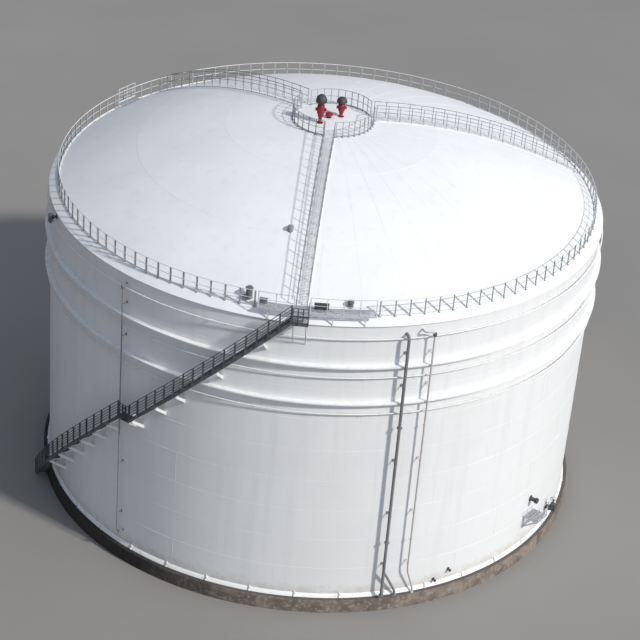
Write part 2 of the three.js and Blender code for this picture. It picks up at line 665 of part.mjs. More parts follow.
// A long strut carries the head landing from below the curb
const headMiddle = STAIR_HEAD + HEAD_SPAN / 2;
const headWall = wallRadius(headMiddle, BRACKET_WIDTH / 2);
const headUnder = HEAD_LEVEL - PLATFORM_PLATE / 2;
const strutFoot = TOP + HEAD_STRUT_LEVEL;
const headStrut = radialPlate([
  [headWall, strutFoot - HEAD_STRUT_DEPTH / 2], [headWall, strutFoot + HEAD_STRUT_DEPTH / 2],
  [STAIR_OUTER - HEAD_STRUT_DEPTH, headUnder], [STAIR_OUTER - STRINGER_PLATE, headUnder],
], BRACKET_WIDTH, headMiddle);
place('stair_head_landing', landing(STAIR_HEAD + joint, STAIR_HEAD + HEAD_SPAN, HEAD_LEVEL,
  ROOF_EDGE + 2, headStrut, true), darkGrey);

// Risers: upright pipes held off the shell by brackets
function riser(azimuth, offset, radius, corners) {
  const pieces = [pipe(corners, radius)];
  const half = RISER_BRACKET / 2;
  const wall = wallRadius(azimuth, half);
  for (const level of RISER_BRACKETS) {
    const z = BASE + level;
    pieces.push(bar([wall, R + offset], [-half, half], [z - half, z + half], azimuth));
  }
  return pieces;
}
const LEDGE = FOUNDATION_HEIGHT + SEAT;
const cooling = { azimuth: -72.8, offset: 500, radius: 110, head: BASE + 19640 };
const branch = { azimuth: -69.8, offset: 260, radius: 80, level: BASE + 2200, knee: LEDGE + 350 };
place('cooling_riser', join([
  ...riser(cooling.azimuth, cooling.offset, cooling.radius, [
    polar(R + cooling.offset, cooling.azimuth, BASE + 300),
    polar(R + cooling.offset, cooling.azimuth, cooling.head),
    polar(wallRadius(cooling.azimuth, cooling.radius), cooling.azimuth, cooling.head),
  ]),
  pipe([
    polar(R + cooling.offset, cooling.azimuth, branch.level),
    polar(R + branch.offset, branch.azimuth, branch.knee),
    polar(R + branch.offset, branch.azimuth, LEDGE),
  ], branch.radius),
]), darkGrey);
const foam = { azimuth: -67.8, foot: -66, hook: -69.8, offset: 450, radius: 60, head: BASE + 19880 };
place('foam_riser', join(riser(foam.azimuth, foam.offset, foam.radius, [
  polar(R + branch.offset, foam.foot, LEDGE), polar(R + branch.offset, foam.foot, branch.knee),
  polar(R + foam.offset, foam.azimuth, BASE + 2000), polar(R + foam.offset, foam.azimuth, foam.head),
  polar(R + foam.offset, foam.hook, foam.head),
  polar(wallRadius(foam.hook, foam.radius), foam.hook, foam.head),
])), white);
const gauge = { azimuth: -129.3, foot: -128.6, offset: 400, radius: 28, low: BASE + 1100 };
place('level_pipe', join(riser(gauge.azimuth, gauge.offset, gauge.radius, [
  polar(wallRadius(gauge.foot, gauge.radius), gauge.foot, gauge.low),
  polar(R + gauge.offset / 2, gauge.foot, gauge.low),
  polar(R + gauge.offset, gauge.azimuth, gauge.low),
  polar(R + gauge.offset, gauge.azimuth, cooling.head),
  polar(wallRadius(gauge.azimuth, gauge.radius), gauge.azimuth, cooling.head),
])), darkGrey);

// Access platform under the upper nozzle: a deep floor frame on two brackets, with an outer railing
const access = { from: -36.1, to: -32.5, level: BASE + 2350, inner: R + 60, outer: R + 1150 };
const ACCESS_FRAME = 120;
const ACCESS_DROP = 900;
place('access_platform', join([
  sweep(rectangle(access.inner, access.outer, access.level - ACCESS_FRAME, access.level),
    access.from, access.to, 1),
  ...arcRailing(access.outer - POST_SIZE / 2, access.from, access.to, 1,
    access.level - ACCESS_FRAME / 2, access.level + RAIL_HEIGHT),
  ...[access.from + 0.5, access.to - 0.5].map((azimuth) => {
    return bracket(azimuth, access.level - ACCESS_FRAME / 2, access.outer - ACCESS_FRAME, ACCESS_DROP);
  }),
]), galvanised);

// Fittings low on the shell: a flanged manway, nozzles and a gate valve, each square to its facet
function fitting(profile, sides = 12) {
  return turned(profile, sides).rotateY(Math.PI / 2);
}
function placeOnShell(name, geometry, material, azimuth, level) {
  const wall = facetRadius(R, azimuth) + SEAT;
  const facetMiddle = (Math.floor(azimuth / FACET) + 0.5) * FACET;
  place(name, geometry, material, facetMiddle).position.set(...polar(wall, azimuth, BASE + level));
}
placeOnShell('shell_manway', fitting([
  [0, 0], [520, 0], [520, 16], [305, 16], [305, 400], [400, 400], [400, 480], [0, 480],
], 20), darkGrey, 75, 900);
placeOnShell('upper_nozzle', fitting([
  [0, 0], [220, 0], [220, 14], [140, 14], [140, 480], [200, 480], [200, 550], [0, 550],
]), darkGrey, -34.1, 3450);
placeOnShell('outlet_valve', join([
  fitting([[0, 0], [300, 0], [300, 14], [160, 14], [160, 300], [230, 300], [230, 360], [170, 380],
    [170, 660], [230, 680], [230, 740], [0, 740]], 8),
  turned([[0, 0], [110, 0], [110, 380], [170, 380], [170, 420], [30, 440], [30, 760], [240, 760],
    [240, 790], [0, 800]], 8).translate(520, 0, 0),
]), darkGrey, -25, 1150);
placeOnShell('drain_nozzle', fitting([
  [0, 0], [120, 0], [120, 12], [60, 12], [60, 200], [105, 200], [105, 240], [0, 240],
]), darkGrey, -57.5, 950);
placeOnShell('steam_nozzle', fitting([
  [0, 0], [120, 0], [120, 12], [60, 12], [60, 200], [105, 200], [105, 240], [0, 240],
]), darkGrey, -60.9, 450);
placeOnShell('foam_chamber', join([
  fitting([[0, 0], [200, 0], [200, 14], [90, 14], [90, 420], [0, 420]]),
  turned([[0, -420], [60, -420], [150, -300], [150, 220], [0, 260]], 12).translate(420, 0, 0),
]), darkGrey, -159, 19780);

export default tank;
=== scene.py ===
import math

import bmesh
import bpy
from mathutils import Matrix, Vector, noise


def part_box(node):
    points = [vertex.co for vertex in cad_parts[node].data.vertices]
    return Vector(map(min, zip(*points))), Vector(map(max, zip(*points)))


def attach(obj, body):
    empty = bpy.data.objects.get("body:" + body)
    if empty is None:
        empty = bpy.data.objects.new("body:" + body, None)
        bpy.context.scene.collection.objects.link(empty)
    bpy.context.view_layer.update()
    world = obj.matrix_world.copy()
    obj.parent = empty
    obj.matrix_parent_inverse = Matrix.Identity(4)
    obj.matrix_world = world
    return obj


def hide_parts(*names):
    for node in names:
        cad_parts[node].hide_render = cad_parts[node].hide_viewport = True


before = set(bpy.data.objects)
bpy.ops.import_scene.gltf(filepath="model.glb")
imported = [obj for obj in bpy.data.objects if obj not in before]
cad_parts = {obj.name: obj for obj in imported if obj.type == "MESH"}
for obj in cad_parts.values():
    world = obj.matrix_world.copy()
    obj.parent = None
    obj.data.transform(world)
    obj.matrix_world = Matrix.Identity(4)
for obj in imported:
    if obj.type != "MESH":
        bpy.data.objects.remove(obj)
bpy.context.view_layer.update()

# Viewpoint, sun and floor
# The tank is seen from the air over its stair, under a hazy sun at the right, where the sky is
# lighter too, on a plain brown-grey disc. Sizes are in metres, azimuths in degrees from +X.
EYE = Vector((0.0, -118.8, 79.4))
AIM = Vector((0.25, 0.0, 10.9))
LENS = 110.0
ROLL = 4.8
SUN_AZIMUTH = -32.0
SUN_HEIGHT = 38.0
SUN_SPREAD = 4.0
SUN_ENERGY = 2.9
SUN_COLOUR = (1.0, 0.96, 0.90)
SKY_DARK, SKY_LIGHT = 0.03, 0.75
SKY_TURN = -0.6
SKY_COLOUR = (0.76, 0.87, 1.05, 1.0)
FLOOR_RADIUS = 600.0
FLOOR_SIDES = 96
FLOOR_COLOUR = (0.262, 0.25, 0.236)
FLOOR_TINT = (0.282, 0.268, 0.252)


def polar(radius, azimuth, height=0.0):
    """A point by its distance from the tank's axis, its azimuth and its height."""
    angle = math.radians(azimuth)
    return Vector((radius * math.cos(angle), radius * math.sin(angle), height))


def put_in_scene(name, data):
    thing = bpy.data.objects.new(name, data)
    scene.collection.objects.link(thing)
    return thing


def new_node(owner, kind, *values):
    """A node of a finish or of the sky, with pairs of socket and value."""
    node = owner.node_tree.nodes.new(kind)
    for socket, value in values:
        node.inputs[socket].default_value = value
    return node


scene = bpy.context.scene
scene.view_settings.view_transform = "Standard"
camera = put_in_scene("camera", bpy.data.cameras.new("camera"))
camera.data.lens = LENS
camera.data.clip_end = 2 * FLOOR_RADIUS
camera.location = EYE
facing = (AIM - EYE).to_track_quat("-Z", "Y").to_matrix()
camera.rotation_euler = (facing @ Matrix.Rotation(math.radians(ROLL), 3, "Z")).to_euler()
scene.camera = camera

sunward = polar(1.0, SUN_AZIMUTH, math.tan(math.radians(SUN_HEIGHT)))
sun = put_in_scene("sun", bpy.data.lights.new("sun", "SUN"))
sun.data.energy = SUN_ENERGY
sun.data.angle = math.radians(SUN_SPREAD)
sun.data.color = SUN_COLOUR
sun.rotation_euler = sunward.to_track_quat("Z", "Y").to_euler()

sky = bpy.data.worlds.new("hazy_sky")
sky.use_nodes = True
sky_link = sky.node_tree.links.new
sky_place = new_node(sky, "ShaderNodeTexCoord")
to_sun = new_node(sky, "ShaderNodeVectorMath")
to_sun.operation = "DOT_PRODUCT"
to_sun.inputs[1].default_value = sunward.normalized()
glow = new_node(sky, "ShaderNodeMapRange", ("From Min", SKY_TURN), ("To Min", SKY_DARK),
                ("To Max", SKY_LIGHT))
backdrop = sky.node_tree.nodes["Background"]
backdrop.inputs["Color"].default_value = SKY_COLOUR
sky_link(sky_place.outputs["Generated"], to_sun.inputs[0])
sky_link(to_sun.outputs["Value"], glow.inputs["Value"])
sky_link(glow.outputs["Result"], backdrop.inputs["Strength"])
scene.world = sky


def blotches(finish, fineness, upright=1.0, detail=3.0):
    """A soft random mask over the tank, drawn out into upright streaks where upright is small."""
    link = finish.node_tree.links.new
    place = new_node(finish, "ShaderNodeTexCoord")
    draw = new_node(finish, "ShaderNodeMapping", ("Scale", (1.0, 1.0, upright)))
    mask = new_node(finish, "ShaderNodeTexNoise", ("Scale", fineness), ("Detail", detail))
    link(place.outputs["Object"], draw.inputs["Vector"])
    link(draw.outputs["Vector"], mask.inputs["Vector"])
    return mask.outputs["Fac"]


def weather(finish, mask, low, high, tint, strength):
    """Lays a tint over a finish where a mask runs from low to high."""
    link = finish.node_tree.links.new
    base = finish.node_tree.nodes["Principled BSDF"].inputs["Base Color"]
    amount = new_node(finish, "ShaderNodeMapRange", ("From Min", low), ("From Max", high),
                      ("To Max", strength))
    link(mask, amount.inputs["Value"])
    lay = new_node(finish, "ShaderNodeMix")
    lay.data_type = "RGBA"
    factor, under, over, result = lay.inputs[0], lay.inputs[6], lay.inputs[7], lay.outputs[2]
    if base.is_linked:
        link(base.links[0].from_socket, under)
    else:
        under.default_value = base.default_value
    over.default_value = (*tint, 1.0)
    link(amount.outputs["Result"], factor)
    link(result, base)


def worn_finish(name, colour, roughness, patches, pits=None, metallic=0.0):
    """A finish with patches of (fineness, low, high, tint, strength) and pits of (fineness, depth)."""
    finish = bpy.data.materials.new(name)
    finish.use_nodes = True
    link = finish.node_tree.links.new
    surface = finish.node_tree.nodes["Principled BSDF"].inputs
    surface["Base Color"].default_value = (*colour, 1.0)
    surface["Roughness"].default_value = roughness
    surface["Metallic"].default_value = metallic
    for fineness, low, high, tint, strength, *upright in patches:
        weather(finish, blotches(finish, fineness, *upright), low, high, tint, strength)
    if pits:
        fineness, depth, *detail = pits
        bump = new_node(finish, "ShaderNodeBump", ("Distance", depth))
        link(blotches(finish, fineness, 1.0, *detail), bump.inputs["Height"])
        link(bump.outputs["Normal"], surface["Normal"])
    return finish


floor_work = bmesh.new()
bmesh.ops.create_circle(floor_work, cap_ends=True, segments=FLOOR_SIDES, radius=FLOOR_RADIUS)
floor_mesh = bpy.data.meshes.new("floor")
floor_work.to_mesh(floor_mesh)
floor_work.free()
floor_mesh.materials.append(
    worn_finish("plain_floor", FLOOR_COLOUR, 0.95, [(0.05, 0.35, 0.65, FLOOR_TINT, 1.0)]))
floor = put_in_scene("floor", floor_mesh)

# Ring wall
# A ring of concrete 0.8 m wide, cast in 48 shutters whose joints show as shallow grooves. Its
# outer edge is chamfered and its top is sealed with bitumen. It holds in the sand pad. Painted
# shade darkens its side away from the sun.
WALL_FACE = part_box("foundation_ring_wall")[1].x
WALL_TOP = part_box("foundation_ring_wall")[1].z
WALL_WIDTH = 0.8
WALL_CHAMFER = 0.03
SHUTTERS = 48
SHUTTER = 360 / SHUTTERS
GROOVE_HALF = 0.045
GROOVE_EDGE = GROOVE_HALF + 0.02
GROOVE_DEPTH = 0.014
CAST_ROUGHNESS = 0.012
CAST_FINENESS = 1.7
BITUMEN = (0.085, 0.078, 0.070)
PAINTED_SHADE_DARK = (0.022, 0.021, 0.02)
SHARP_EDGE = math.radians(38)


def even_steps(start, end, steps):
    """Numbers from one to another in even steps, both ends included."""
    return [start + (end - start) * i / steps for i in range(steps + 1)]


def all_round(count, first=0.0):
    """The azimuths of so many things set evenly round the tank."""
    return [first + i * 360 / count for i in range(count)]


def skinned(rings, closed=False):
    """A solid over rings of points, its ends flat unless the last ring joins the first."""
    count = len(rings[0])
    points = [point for ring in rings for point in ring]
    faces = []
    for i in range(len(rings) if closed else len(rings) - 1):
        here, there = i * count, (i + 1) % len(rings) * count
        for j in range(count):
            k = (j + 1) % count
            faces.append((here + j, here + k, there + k, there + j))
    if not closed:
        faces += [tuple(range(count)), tuple(range(len(points) - count, len(points)))]
    return points, faces


def swept(section, stations, closed=True):
    """A solid whose section of [radius, height] points is carried round the tank's axis."""
    return skinned([[polar(r, azimuth, z) for r, z in section(azimuth)] for azimuth in stations],
                   closed)


def set_piece(name, solids, finish, slot, *nodes):
    """One piece of the tank from closed solids. It stands for the CAD nodes that it shows better:
    those that are given, or else the one of its own name, where there is one."""
    work = bmesh.new()
    for points, faces in solids:
        corners = [work.verts.new(point) for point in points]
        for face in faces:
            work.faces.new([corners[i] for i in face])
    bmesh.ops.recalc_face_normals(work, faces=work.faces)
    mesh = bpy.data.meshes.new(name)
    work.to_mesh(mesh)
    work.free()
    mesh.materials.append(finish)
    mesh.shade_smooth()
    mesh.set_sharp_from_angle(angle=SHARP_EDGE)
    piece = put_in_scene(name, mesh)
    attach(piece, "root")
    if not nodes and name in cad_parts:
        nodes = (name,)
    if nodes:
        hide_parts(*nodes)


def place_mask(finish, axis="Z", ragged=0.0, fineness=1.0):
    """Distance along an axis of the tank, its lines made ragged by blotches."""
    link = finish.node_tree.links.new
    place = new_node(finish, "ShaderNodeTexCoord")
    split = new_node(finish, "ShaderNodeSeparateXYZ")
    link(place.outputs["Object"], split.inputs["Vector"])
    if not ragged:
        return split.outputs[axis]
    wander = new_node(finish, "ShaderNodeMath")
    wander.operation = "MULTIPLY_ADD"
    wander.inputs[1].default_value = ragged
    link(blotches(finish, fineness), wander.inputs[0])
    link(split.outputs[axis], wander.inputs[2])
    return wander.outputs["Value"]


def wall_section(azimuth):
    """The wall's section, rough on its face and cut back at a shutter's joint."""
    from_joint = abs(azimuth / SHUTTER - round(azimuth / SHUTTER)) * SHUTTER
    groove = GROOVE_DEPTH if from_joint < (GROOVE_HALF + GROOVE_EDGE) / 2 else 0.0
    face = []
    for z in (0.0, 0.25, 0.5, 0.75, WALL_TOP - WALL_CHAMFER):
        rough = CAST_ROUGHNESS * (0.5 + noise.noise(polar(WALL_FACE, azimuth, z) * CAST_FINENESS))
        face.append((WALL_FACE - groove - max(rough, 0.0), z))
    inner = WALL_FACE - WALL_WIDTH
    return [(inner, 0.0), *face, (face[-1][0] - WALL_CHAMFER, WALL_TOP), (inner, WALL_TOP)]


wall_stations = []
for joint in all_round(SHUTTERS):
    wall_stations += [joint + side for side in (-GROOVE_EDGE, -GROOVE_HALF, GROOVE_HALF, GROOVE_EDGE)]
    wall_stations += even_steps(joint, joint + SHUTTER, 8)[1:-1]
wall_concrete = worn_finish("ring_wall_concrete", (0.26, 0.22, 0.185), 0.93, [
    (0.9, 0.36, 0.58, (0.13, 0.105, 0.085), 0.85),
    (3.5, 0.5, 0.66, (0.36, 0.315, 0.27), 0.7)], (14.0, 0.006, 6.0))
weather(wall_concrete, place_mask(wall_concrete), WALL_TOP - 0.02, WALL_TOP - 0.005, BITUMEN, 0.9)
# Painted shade: the face away from the sun, towards -X, is darkened, with a ragged edge.
weather(wall_concrete, place_mask(wall_concrete, "X", 4.0, 0.3), -1.0, -9.0, PAINTED_SHADE_DARK, 0.92)
set_piece("foundation_ring_wall", [swept(wall_section, wall_stations)], wall_concrete, "concrete")

# Sand pad and bottom plate
# Compacted sand fills the ring wall, and the welded bottom plate lies on it. Both are under the
# tank, so they stay as they are and only get their finish. Mud has splashed the white paint's foot.
MUD = (0.55, 0.49, 0.41)
sand = worn_finish("compacted_sand", (0.45, 0.38, 0.28), 0.97,
                   [(0.8, 0.4, 0.65, (0.36, 0.30, 0.22), 0.8)], (40.0, 0.004, 6.0))
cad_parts["foundation_fill"].material_slots[0].material = sand

tank_white = worn_finish("white_tank_paint", (0.86, 0.865, 0.86), 0.5, [
    (1.3, 0.5, 0.78, (0.74, 0.745, 0.74), 0.55, 0.05),
    (0.16, 0.42, 0.66, (0.80, 0.80, 0.79), 0.6),
    (7.0, 0.62, 0.80, (0.62, 0.60, 0.57), 0.30, 0.09)], (30.0, 0.0006, 4.0))
weather(tank_white, place_mask(tank_white, "Z", -1.4, 2.2), WALL_TOP + 0.25, WALL_TOP - 0.55, MUD, 0.55)
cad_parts["bottom_plate"].material_slots[0].material = tank_white

# Rain skirt
# A white sheet flashing keeps rain out from under the tank. Its upper edge is welded to the
# shell, it slopes out over the ledge, and clips at every 9 degrees hold it down.
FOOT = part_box("shell_segment_1")[0].z
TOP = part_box("shell_segment_1")[1].z
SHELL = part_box("shell_segment_1")[1].x
SKIRT_SHEET = 0.005
SKIRT_LINE = [(SHELL + 0.002, FOOT + 0.25), (SHELL + 0.025, FOOT + 0.235), (SHELL + 0.105, FOOT + 0.05),
              (SHELL + 0.135, WALL_TOP + 0.02), (SHELL + 0.14, WALL_TOP + 0.004)]
SKIRT_CLIPS = 40
CLIP_PLATE = 0.02
CLIP_REACH = SHELL + 0.2
CLIP_HEAD = WALL_TOP + 0.38
CLIP_OUTLINE = [(SHELL - 0.01, WALL_TOP + 0.06), (CLIP_REACH, WALL_TOP + 0.01),
                (CLIP_REACH, WALL_TOP + 0.08), (SHELL + 0.05, CLIP_HEAD), (SHELL - 0.01, CLIP_HEAD)]
CLIP_BOLT = [(0.05, 0.0), (0.05, 0.09), (0.035, 0.11)]
CLIP_BOLT_TURN = 0.25
UP = Vector((0, 0, 1))


def skirt_section(azimuth):
    return SKIRT_LINE + [(r - SKIRT_SHEET, z - SKIRT_SHEET) for r, z in reversed(SKIRT_LINE)]


def standing_plate(outline, thickness, azimuth, across=0.0):
    """A plate on edge in a radial plane, from an outline of [radius, height] points."""
    side = polar(1.0, azimuth + 90)
    return skinned([[polar(r, azimuth, z) + side * (across + half) for r, z in outline]
                    for half in (-thickness / 2, thickness / 2)])


def square_to(axis):
    """A direction square to an axis."""
    return axis.cross(UP if abs(axis.z) < 0.9 else Vector((1, 0, 0))).normalized()


def spokes(axis, first, count, turn=0.0):
    """Directions evenly round an axis, from a first one that is square to it."""
    second = axis.cross(first)
    spins = [2 * math.pi * (k + turn) / count for k in range(count)]
    return [first * math.cos(spin) + second * math.sin(spin) for spin in spins]


def turned(profile, base, axis=UP, sides=20):
    """A round piece from points of [radius, distance along its axis], closed flat at both ends."""
    around = spokes(axis, square_to(axis), sides)
    return skinned([[base + axis * along + spoke * radius for spoke in around]
                    for radius, along in profile])


skirt_white = worn_finish("skirt_paint", (0.90, 0.90, 0.89), 0.45,
                          [(2.0, 0.55, 0.72, (0.62, 0.58, 0.52), 0.6)])
skirt = [swept(skirt_section, all_round(360))]
for azimuth in all_round(SKIRT_CLIPS):
    skirt.append(standing_plate(CLIP_OUTLINE, CLIP_PLATE, azimuth))
    skirt.append(turned(CLIP_BOLT, polar(SHELL + 0.05, azimuth + CLIP_BOLT_TURN, WALL_TOP + 0.24),
                        polar(1.0, azimuth + CLIP_BOLT_TURN), 8))
set_piece("rain_skirt", skirt, skirt_white, "shell_paint")

# Shell
# Nine courses of steel plate, each 2.25 m high and of twelve plates, stand on the bottom plate.
# The upright joints of one course fall between those of the next, and the welds are low beads.
COURSES = 9
COURSE = (TOP - FOOT) / COURSES
COURSE_ROWS = (0.0, 0.12, 0.35, 0.65, 0.88)
PLATES = 12
FIRST_SEAM = 4
SEAM_STEP = 10
SHELL_PLATE = 0.014
BEAD_WIDTH = 0.016
BEAD_RISE = 0.004
BEAD_TURN = math.degrees(BEAD_WIDTH / 2 / SHELL)
PLATE_DISH = 0.007
DISH_FINENESS = 0.42
course_feet = [FOOT + course * COURSE for course in range(COURSES)]


def shell_section(azimuth):
    """The shell's section, its plates dished by a few millimetres."""
    outside = []
    for z in [low + row * COURSE for low in course_feet for row in COURSE_ROWS]:
        dish = PLATE_DISH * (0.5 + noise.noise(polar(SHELL, azimuth, z) * DISH_FINENESS))
        outside.append((SHELL - min(max(dish, 0.0), PLATE_DISH), z))
    inside = SHELL - SHELL_PLATE - PLATE_DISH
    return [(inside, FOOT), *outside, (SHELL - PLATE_DISH / 2, TOP), (inside, TOP)]


def bead_section(z):
    """The low bead of a level weld."""
    root, half = SHELL - PLATE_DISH, BEAD_WIDTH / 2
    return lambda azimuth: [(root, z - half), (SHELL, z - half), (SHELL + BEAD_RISE, z),
                            (SHELL, z + half), (root, z + half)]


def curved_bar(inner, outer, low, high, start, end, steps=1):
    """A bar of rectangular section, bent round the tank from one azimuth to another."""
    corners = [(inner, low), (outer, low), (outer, high), (inner, high)]
    return swept(lambda azimuth: corners, even_steps(start, end, steps), closed=False)


shell = [swept(shell_section, all_round(360))]
for course, low in enumerate(course_feet):
    if course:
        shell.append(swept(bead_section(low), all_round(240)))
    for seam in all_round(PLATES, FIRST_SEAM + course % 3 * SEAM_STEP):
        shell.append(curved_bar(SHELL - PLATE_DISH, SHELL + BEAD_RISE / 2, low, low + COURSE,
                                seam - BEAD_TURN, seam + BEAD_TURN))
set_piece("tank_shell", shell, tank_white, "shell_paint", *[f"shell_segment_{i}" for i in range(1, 7)])

# Curb angle
# A rolled steel angle is welded round the top of the shell, with its flat leg outward, and
# carries the edge of the roof plates.
CURB_LEG = 0.1
CURB_PLATE = 0.01
ROOF_EDGE = SHELL + CURB_LEG


def angle_bar(leg, plate=0.008):
    """The section of a rolled angle, its heel on the line, one leg level and one hanging."""
    return [(0, 0), (leg, 0), (leg, -plate), (plate, -plate), (plate, -leg), (0, -leg)]


def curb_section(azimuth):
    return [(SHELL + u, TOP + v) for u, v in angle_bar(CURB_LEG, CURB_PLATE)]


set_piece("curb_angle", [swept(curb_section, all_round(360))], tank_white, "shell_paint")

# Wind girders
# Two rings of flat plate with a turned-down lip stiffen the shell against wind. Gusset plates
# under them, every 6 degrees, are welded to the shell, and splice plates join their lengths.
WELD_LINE = SHELL - 0.005
GIRDER_PLATE = 0.008
GIRDER_LIP = 0.09
GIRDER_OUTER = SHELL + 0.35
GUSSETS = 60
GUSSET_DEPTH = 0.26
GUSSET_TIP = GIRDER_OUTER - 0.03
GUSSET_EDGE = 0.04
SPLICES = 24
SPLICE_HALF = 0.35
SPLICE_RISE = 0.007
SPLICE_INNER = SHELL + 0.06


def girder_section(z):
    web, lip = GIRDER_OUTER - GIRDER_PLATE, z - GIRDER_LIP
    return lambda azimuth: [(SHELL, z), (GIRDER_OUTER, z), (GIRDER_OUTER, lip), (web, lip),
                            (web, z - GIRDER_PLATE), (SHELL, z - GIRDER_PLATE)]


girder_white = worn_finish("girder_paint", (0.87, 0.875, 0.87), 0.5, [
    (2.2, 0.45, 0.72, (0.70, 0.69, 0.67), 0.6),
    (9.0, 0.62, 0.75, (0.48, 0.40, 0.33), 0.35)], (40.0, 0.0006))
for name in ("wind_girder_upper", "wind_girder_lower"):
    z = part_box(name)[1].z
    under = z - GIRDER_PLATE
    gusset = [(WELD_LINE, under), (GUSSET_TIP, under), (GUSSET_TIP, under - GUSSET_EDGE),
              (SHELL + GUSSET_EDGE, under - GUSSET_DEPTH), (WELD_LINE, under - GUSSET_DEPTH)]
    girder = [swept(girder_section(z), all_round(360))]
    girder += [standing_plate(gusset, GIRDER_PLATE, azimuth)
               for azimuth in all_round(GUSSETS, 180 / GUSSETS)]
    girder += [curved_bar(SPLICE_INNER, GUSSET_TIP, z - 0.001, z + SPLICE_RISE,
                          azimuth - SPLICE_HALF, azimuth + SPLICE_HALF)
               for azimuth in all_round(SPLICES, 2)]
    set_piece(name, girder, girder_white, "shell_paint")

# Cooling water rings
# Three thin pipes run round the shell on short brackets. Each has a spray nozzle every 3 degrees
# that points at the plates, and they keep the tank cool in summer or in a fire.
SPRAY_LINE = SHELL + 0.18
SPRAY_PIPE = 0.04
SPRAY_NOZZLES = 120
SPRAY_NOZZLE = [(0.012, 0.0), (0.012, 0.07), (0.022, 0.09), (0.022, 0.11)]
SPRAY_BRACKETS = 36
SPRAY_ARM = angle_bar(0.045, 0.006)


def tube(path, radius, sides=8, closed=False):
    """A round bar or pipe along a line of points."""
    rings, across = [], None
    for i, centre in enumerate(path):
        before = path[i - 1] if i or closed else centre
        after = path[(i + 1) % len(path)] if i + 1 < len(path) or closed else centre
        along = (after - before).normalized()
        if across is None:
            across = square_to(along)
        across = (across - along * across.dot(along)).normalized()
        rings.append([centre + spoke * radius for spoke in spokes(along, across, sides)])
    return skinned(rings, closed)


def rolled(start, end, section, up=UP):
    """A straight length of steel. Its section's points are measured across and up from its line."""
    along = (end - start).normalized()
    across = along.cross(up).normalized()
    rise = across.cross(along)
    return skinned([[base + across * u + rise * v for u, v in section] for base in (start, end)])


def flat_bar(width, depth):
    """The section of a flat bar, centred on its line."""
    side, half = width / 2, depth / 2
    return [(-side, -half), (side, -half), (side, half), (-side, half)]


def radial_bar(inner, outer, azimuth, z, section):
    """A level length of steel along the radius, from one radius to another."""
    return rolled(polar(inner, azimuth, z), polar(outer, azimuth, z), section)


for name in ("spray_ring_upper", "spray_ring_middle", "spray_ring_lower"):
    z = sum(corner.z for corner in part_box(name)) / 2
    ring = [tube([polar(SPRAY_LINE, azimuth, z) for azimuth in all_round(180)], SPRAY_PIPE, 8, True)]
    ring += [turned(SPRAY_NOZZLE, polar(SPRAY_LINE - 0.03, azimuth, z), -polar(1.0, azimuth), 6)
             for azimuth in all_round(SPRAY_NOZZLES, 180 / SPRAY_NOZZLES)]
    ring += [radial_bar(WELD_LINE, SPRAY_LINE + 0.05, azimuth, z - SPRAY_PIPE, SPRAY_ARM)
             for azimuth in all_round(SPRAY_BRACKETS)]
    set_piece(name, ring, girder_white, "shell_paint")

# Dome roof
# Forty tapering plates, lapped like shingles down their edges and twice along their length, are
# curved to one ball of 37 m radius and welded to the curb angle. A round plate closes the crown.
DOME = 37.0
GORES = 40
LAP = 0.006
LAP_RADII = (12.9, 7.1)
LAP_STEP = 0.001
LAP_TURN = 0.004
CROWN = 1.5
CROWN_RINGS = (CROWN, 1.2, 0.9, 0.6, 0.3, 0.05)
CROWN_LIFT = LAP * 4
ROOF_PLATE = 0.007
GORE_RADII = [ROOF_EDGE, 17.4, 16.2, 15.0, 13.9, LAP_RADII[0] + LAP_STEP, LAP_RADII[0] - LAP_STEP, 11.9,
              10.7, 9.5, 8.3, LAP_RADII[1] + LAP_STEP, LAP_RADII[1] - LAP_STEP, 6.0, 4.8, 3.6, 2.5,
              CROWN - 0.1]


def dome(radius):
    """Height of the dome's plates over a radius, before any lap."""
    return TOP + ROOF_PLATE + math.sqrt(DOME**2 - radius**2) - math.sqrt(DOME**2 - ROOF_EDGE**2)


def laps(radius):
    """How many times the roof has lapped between its edge and a radius."""
    return sum(radius < lap for lap in LAP_RADII)


def roof_top(radius):
    """Height that feet on the roof stand at, over a radius."""
    return dome(radius) + LAP * (1 + laps(radius))


def gore_section(azimuth):
    into = azimuth / (360 / GORES) % 1.0
    upper = [(r, dome(r) + LAP * (1 - into + laps(r))) for r in GORE_RADII]
    return upper + [(r, dome(r) - ROOF_PLATE) for r in reversed(GORE_RADII)]


roof_stations = []
for start in all_round(GORES):
    end = start + 360 / GORES
    roof_stations += [*even_steps(start, end, 6)[:-1], end - LAP_TURN]
roof_white = worn_finish("white_roof_paint", (0.88, 0.885, 0.885), 0.62, [
    (0.22, 0.42, 0.66, (0.80, 0.81, 0.82), 0.6),
    (1.6, 0.55, 0.78, (0.74, 0.745, 0.75), 0.4),
    (11.0, 0.64, 0.78, (0.62, 0.60, 0.58), 0.22)], (30.0, 0.0008, 4.0))
set_piece("roof_plates", [swept(gore_section, roof_stations)], roof_white, "roof_paint",
          *[f"roof_gore_{i}" for i in range(1, 7)])
crown_profile = [(CROWN, dome(CROWN) - ROOF_PLATE), *[(r, dome(r) + CROWN_LIFT) for r in CROWN_RINGS]]
set_piece("roof_centre_plate", [turned(crown_profile, Vector(), sides=60)], roof_white, "roof_paint")

# Railing round the roof's edge
# Grey posts of steel angle stand on small foot plates every 3 degrees and carry a white top rail,
# knee rail and toe plate. The ring is open where the platform over the stair stands.
EDGE_RAIL = 18.0
RAIL_RISE = 1.1
RAIL_PIPE = 0.024
KNEE_PIPE = 0.018
TOP_RAIL = RAIL_RISE - RAIL_PIPE
KNEE_RAIL = RAIL_RISE * 0.52
RAILS = ((TOP_RAIL, RAIL_PIPE), (KNEE_RAIL, KNEE_PIPE))
POST = 0.09
POST_FOOT = 0.14
FOOT_PLATE = 0.01
POST_SUNK = 0.02
TOE_RISE = 0.1
TOE_LIFT = 0.02
TOE_OUTER, TOE_INNER = 0.025, 0.03
EDGE_FROM, EDGE_TO, EDGE_BAYS = -78.0, 258.0, 112


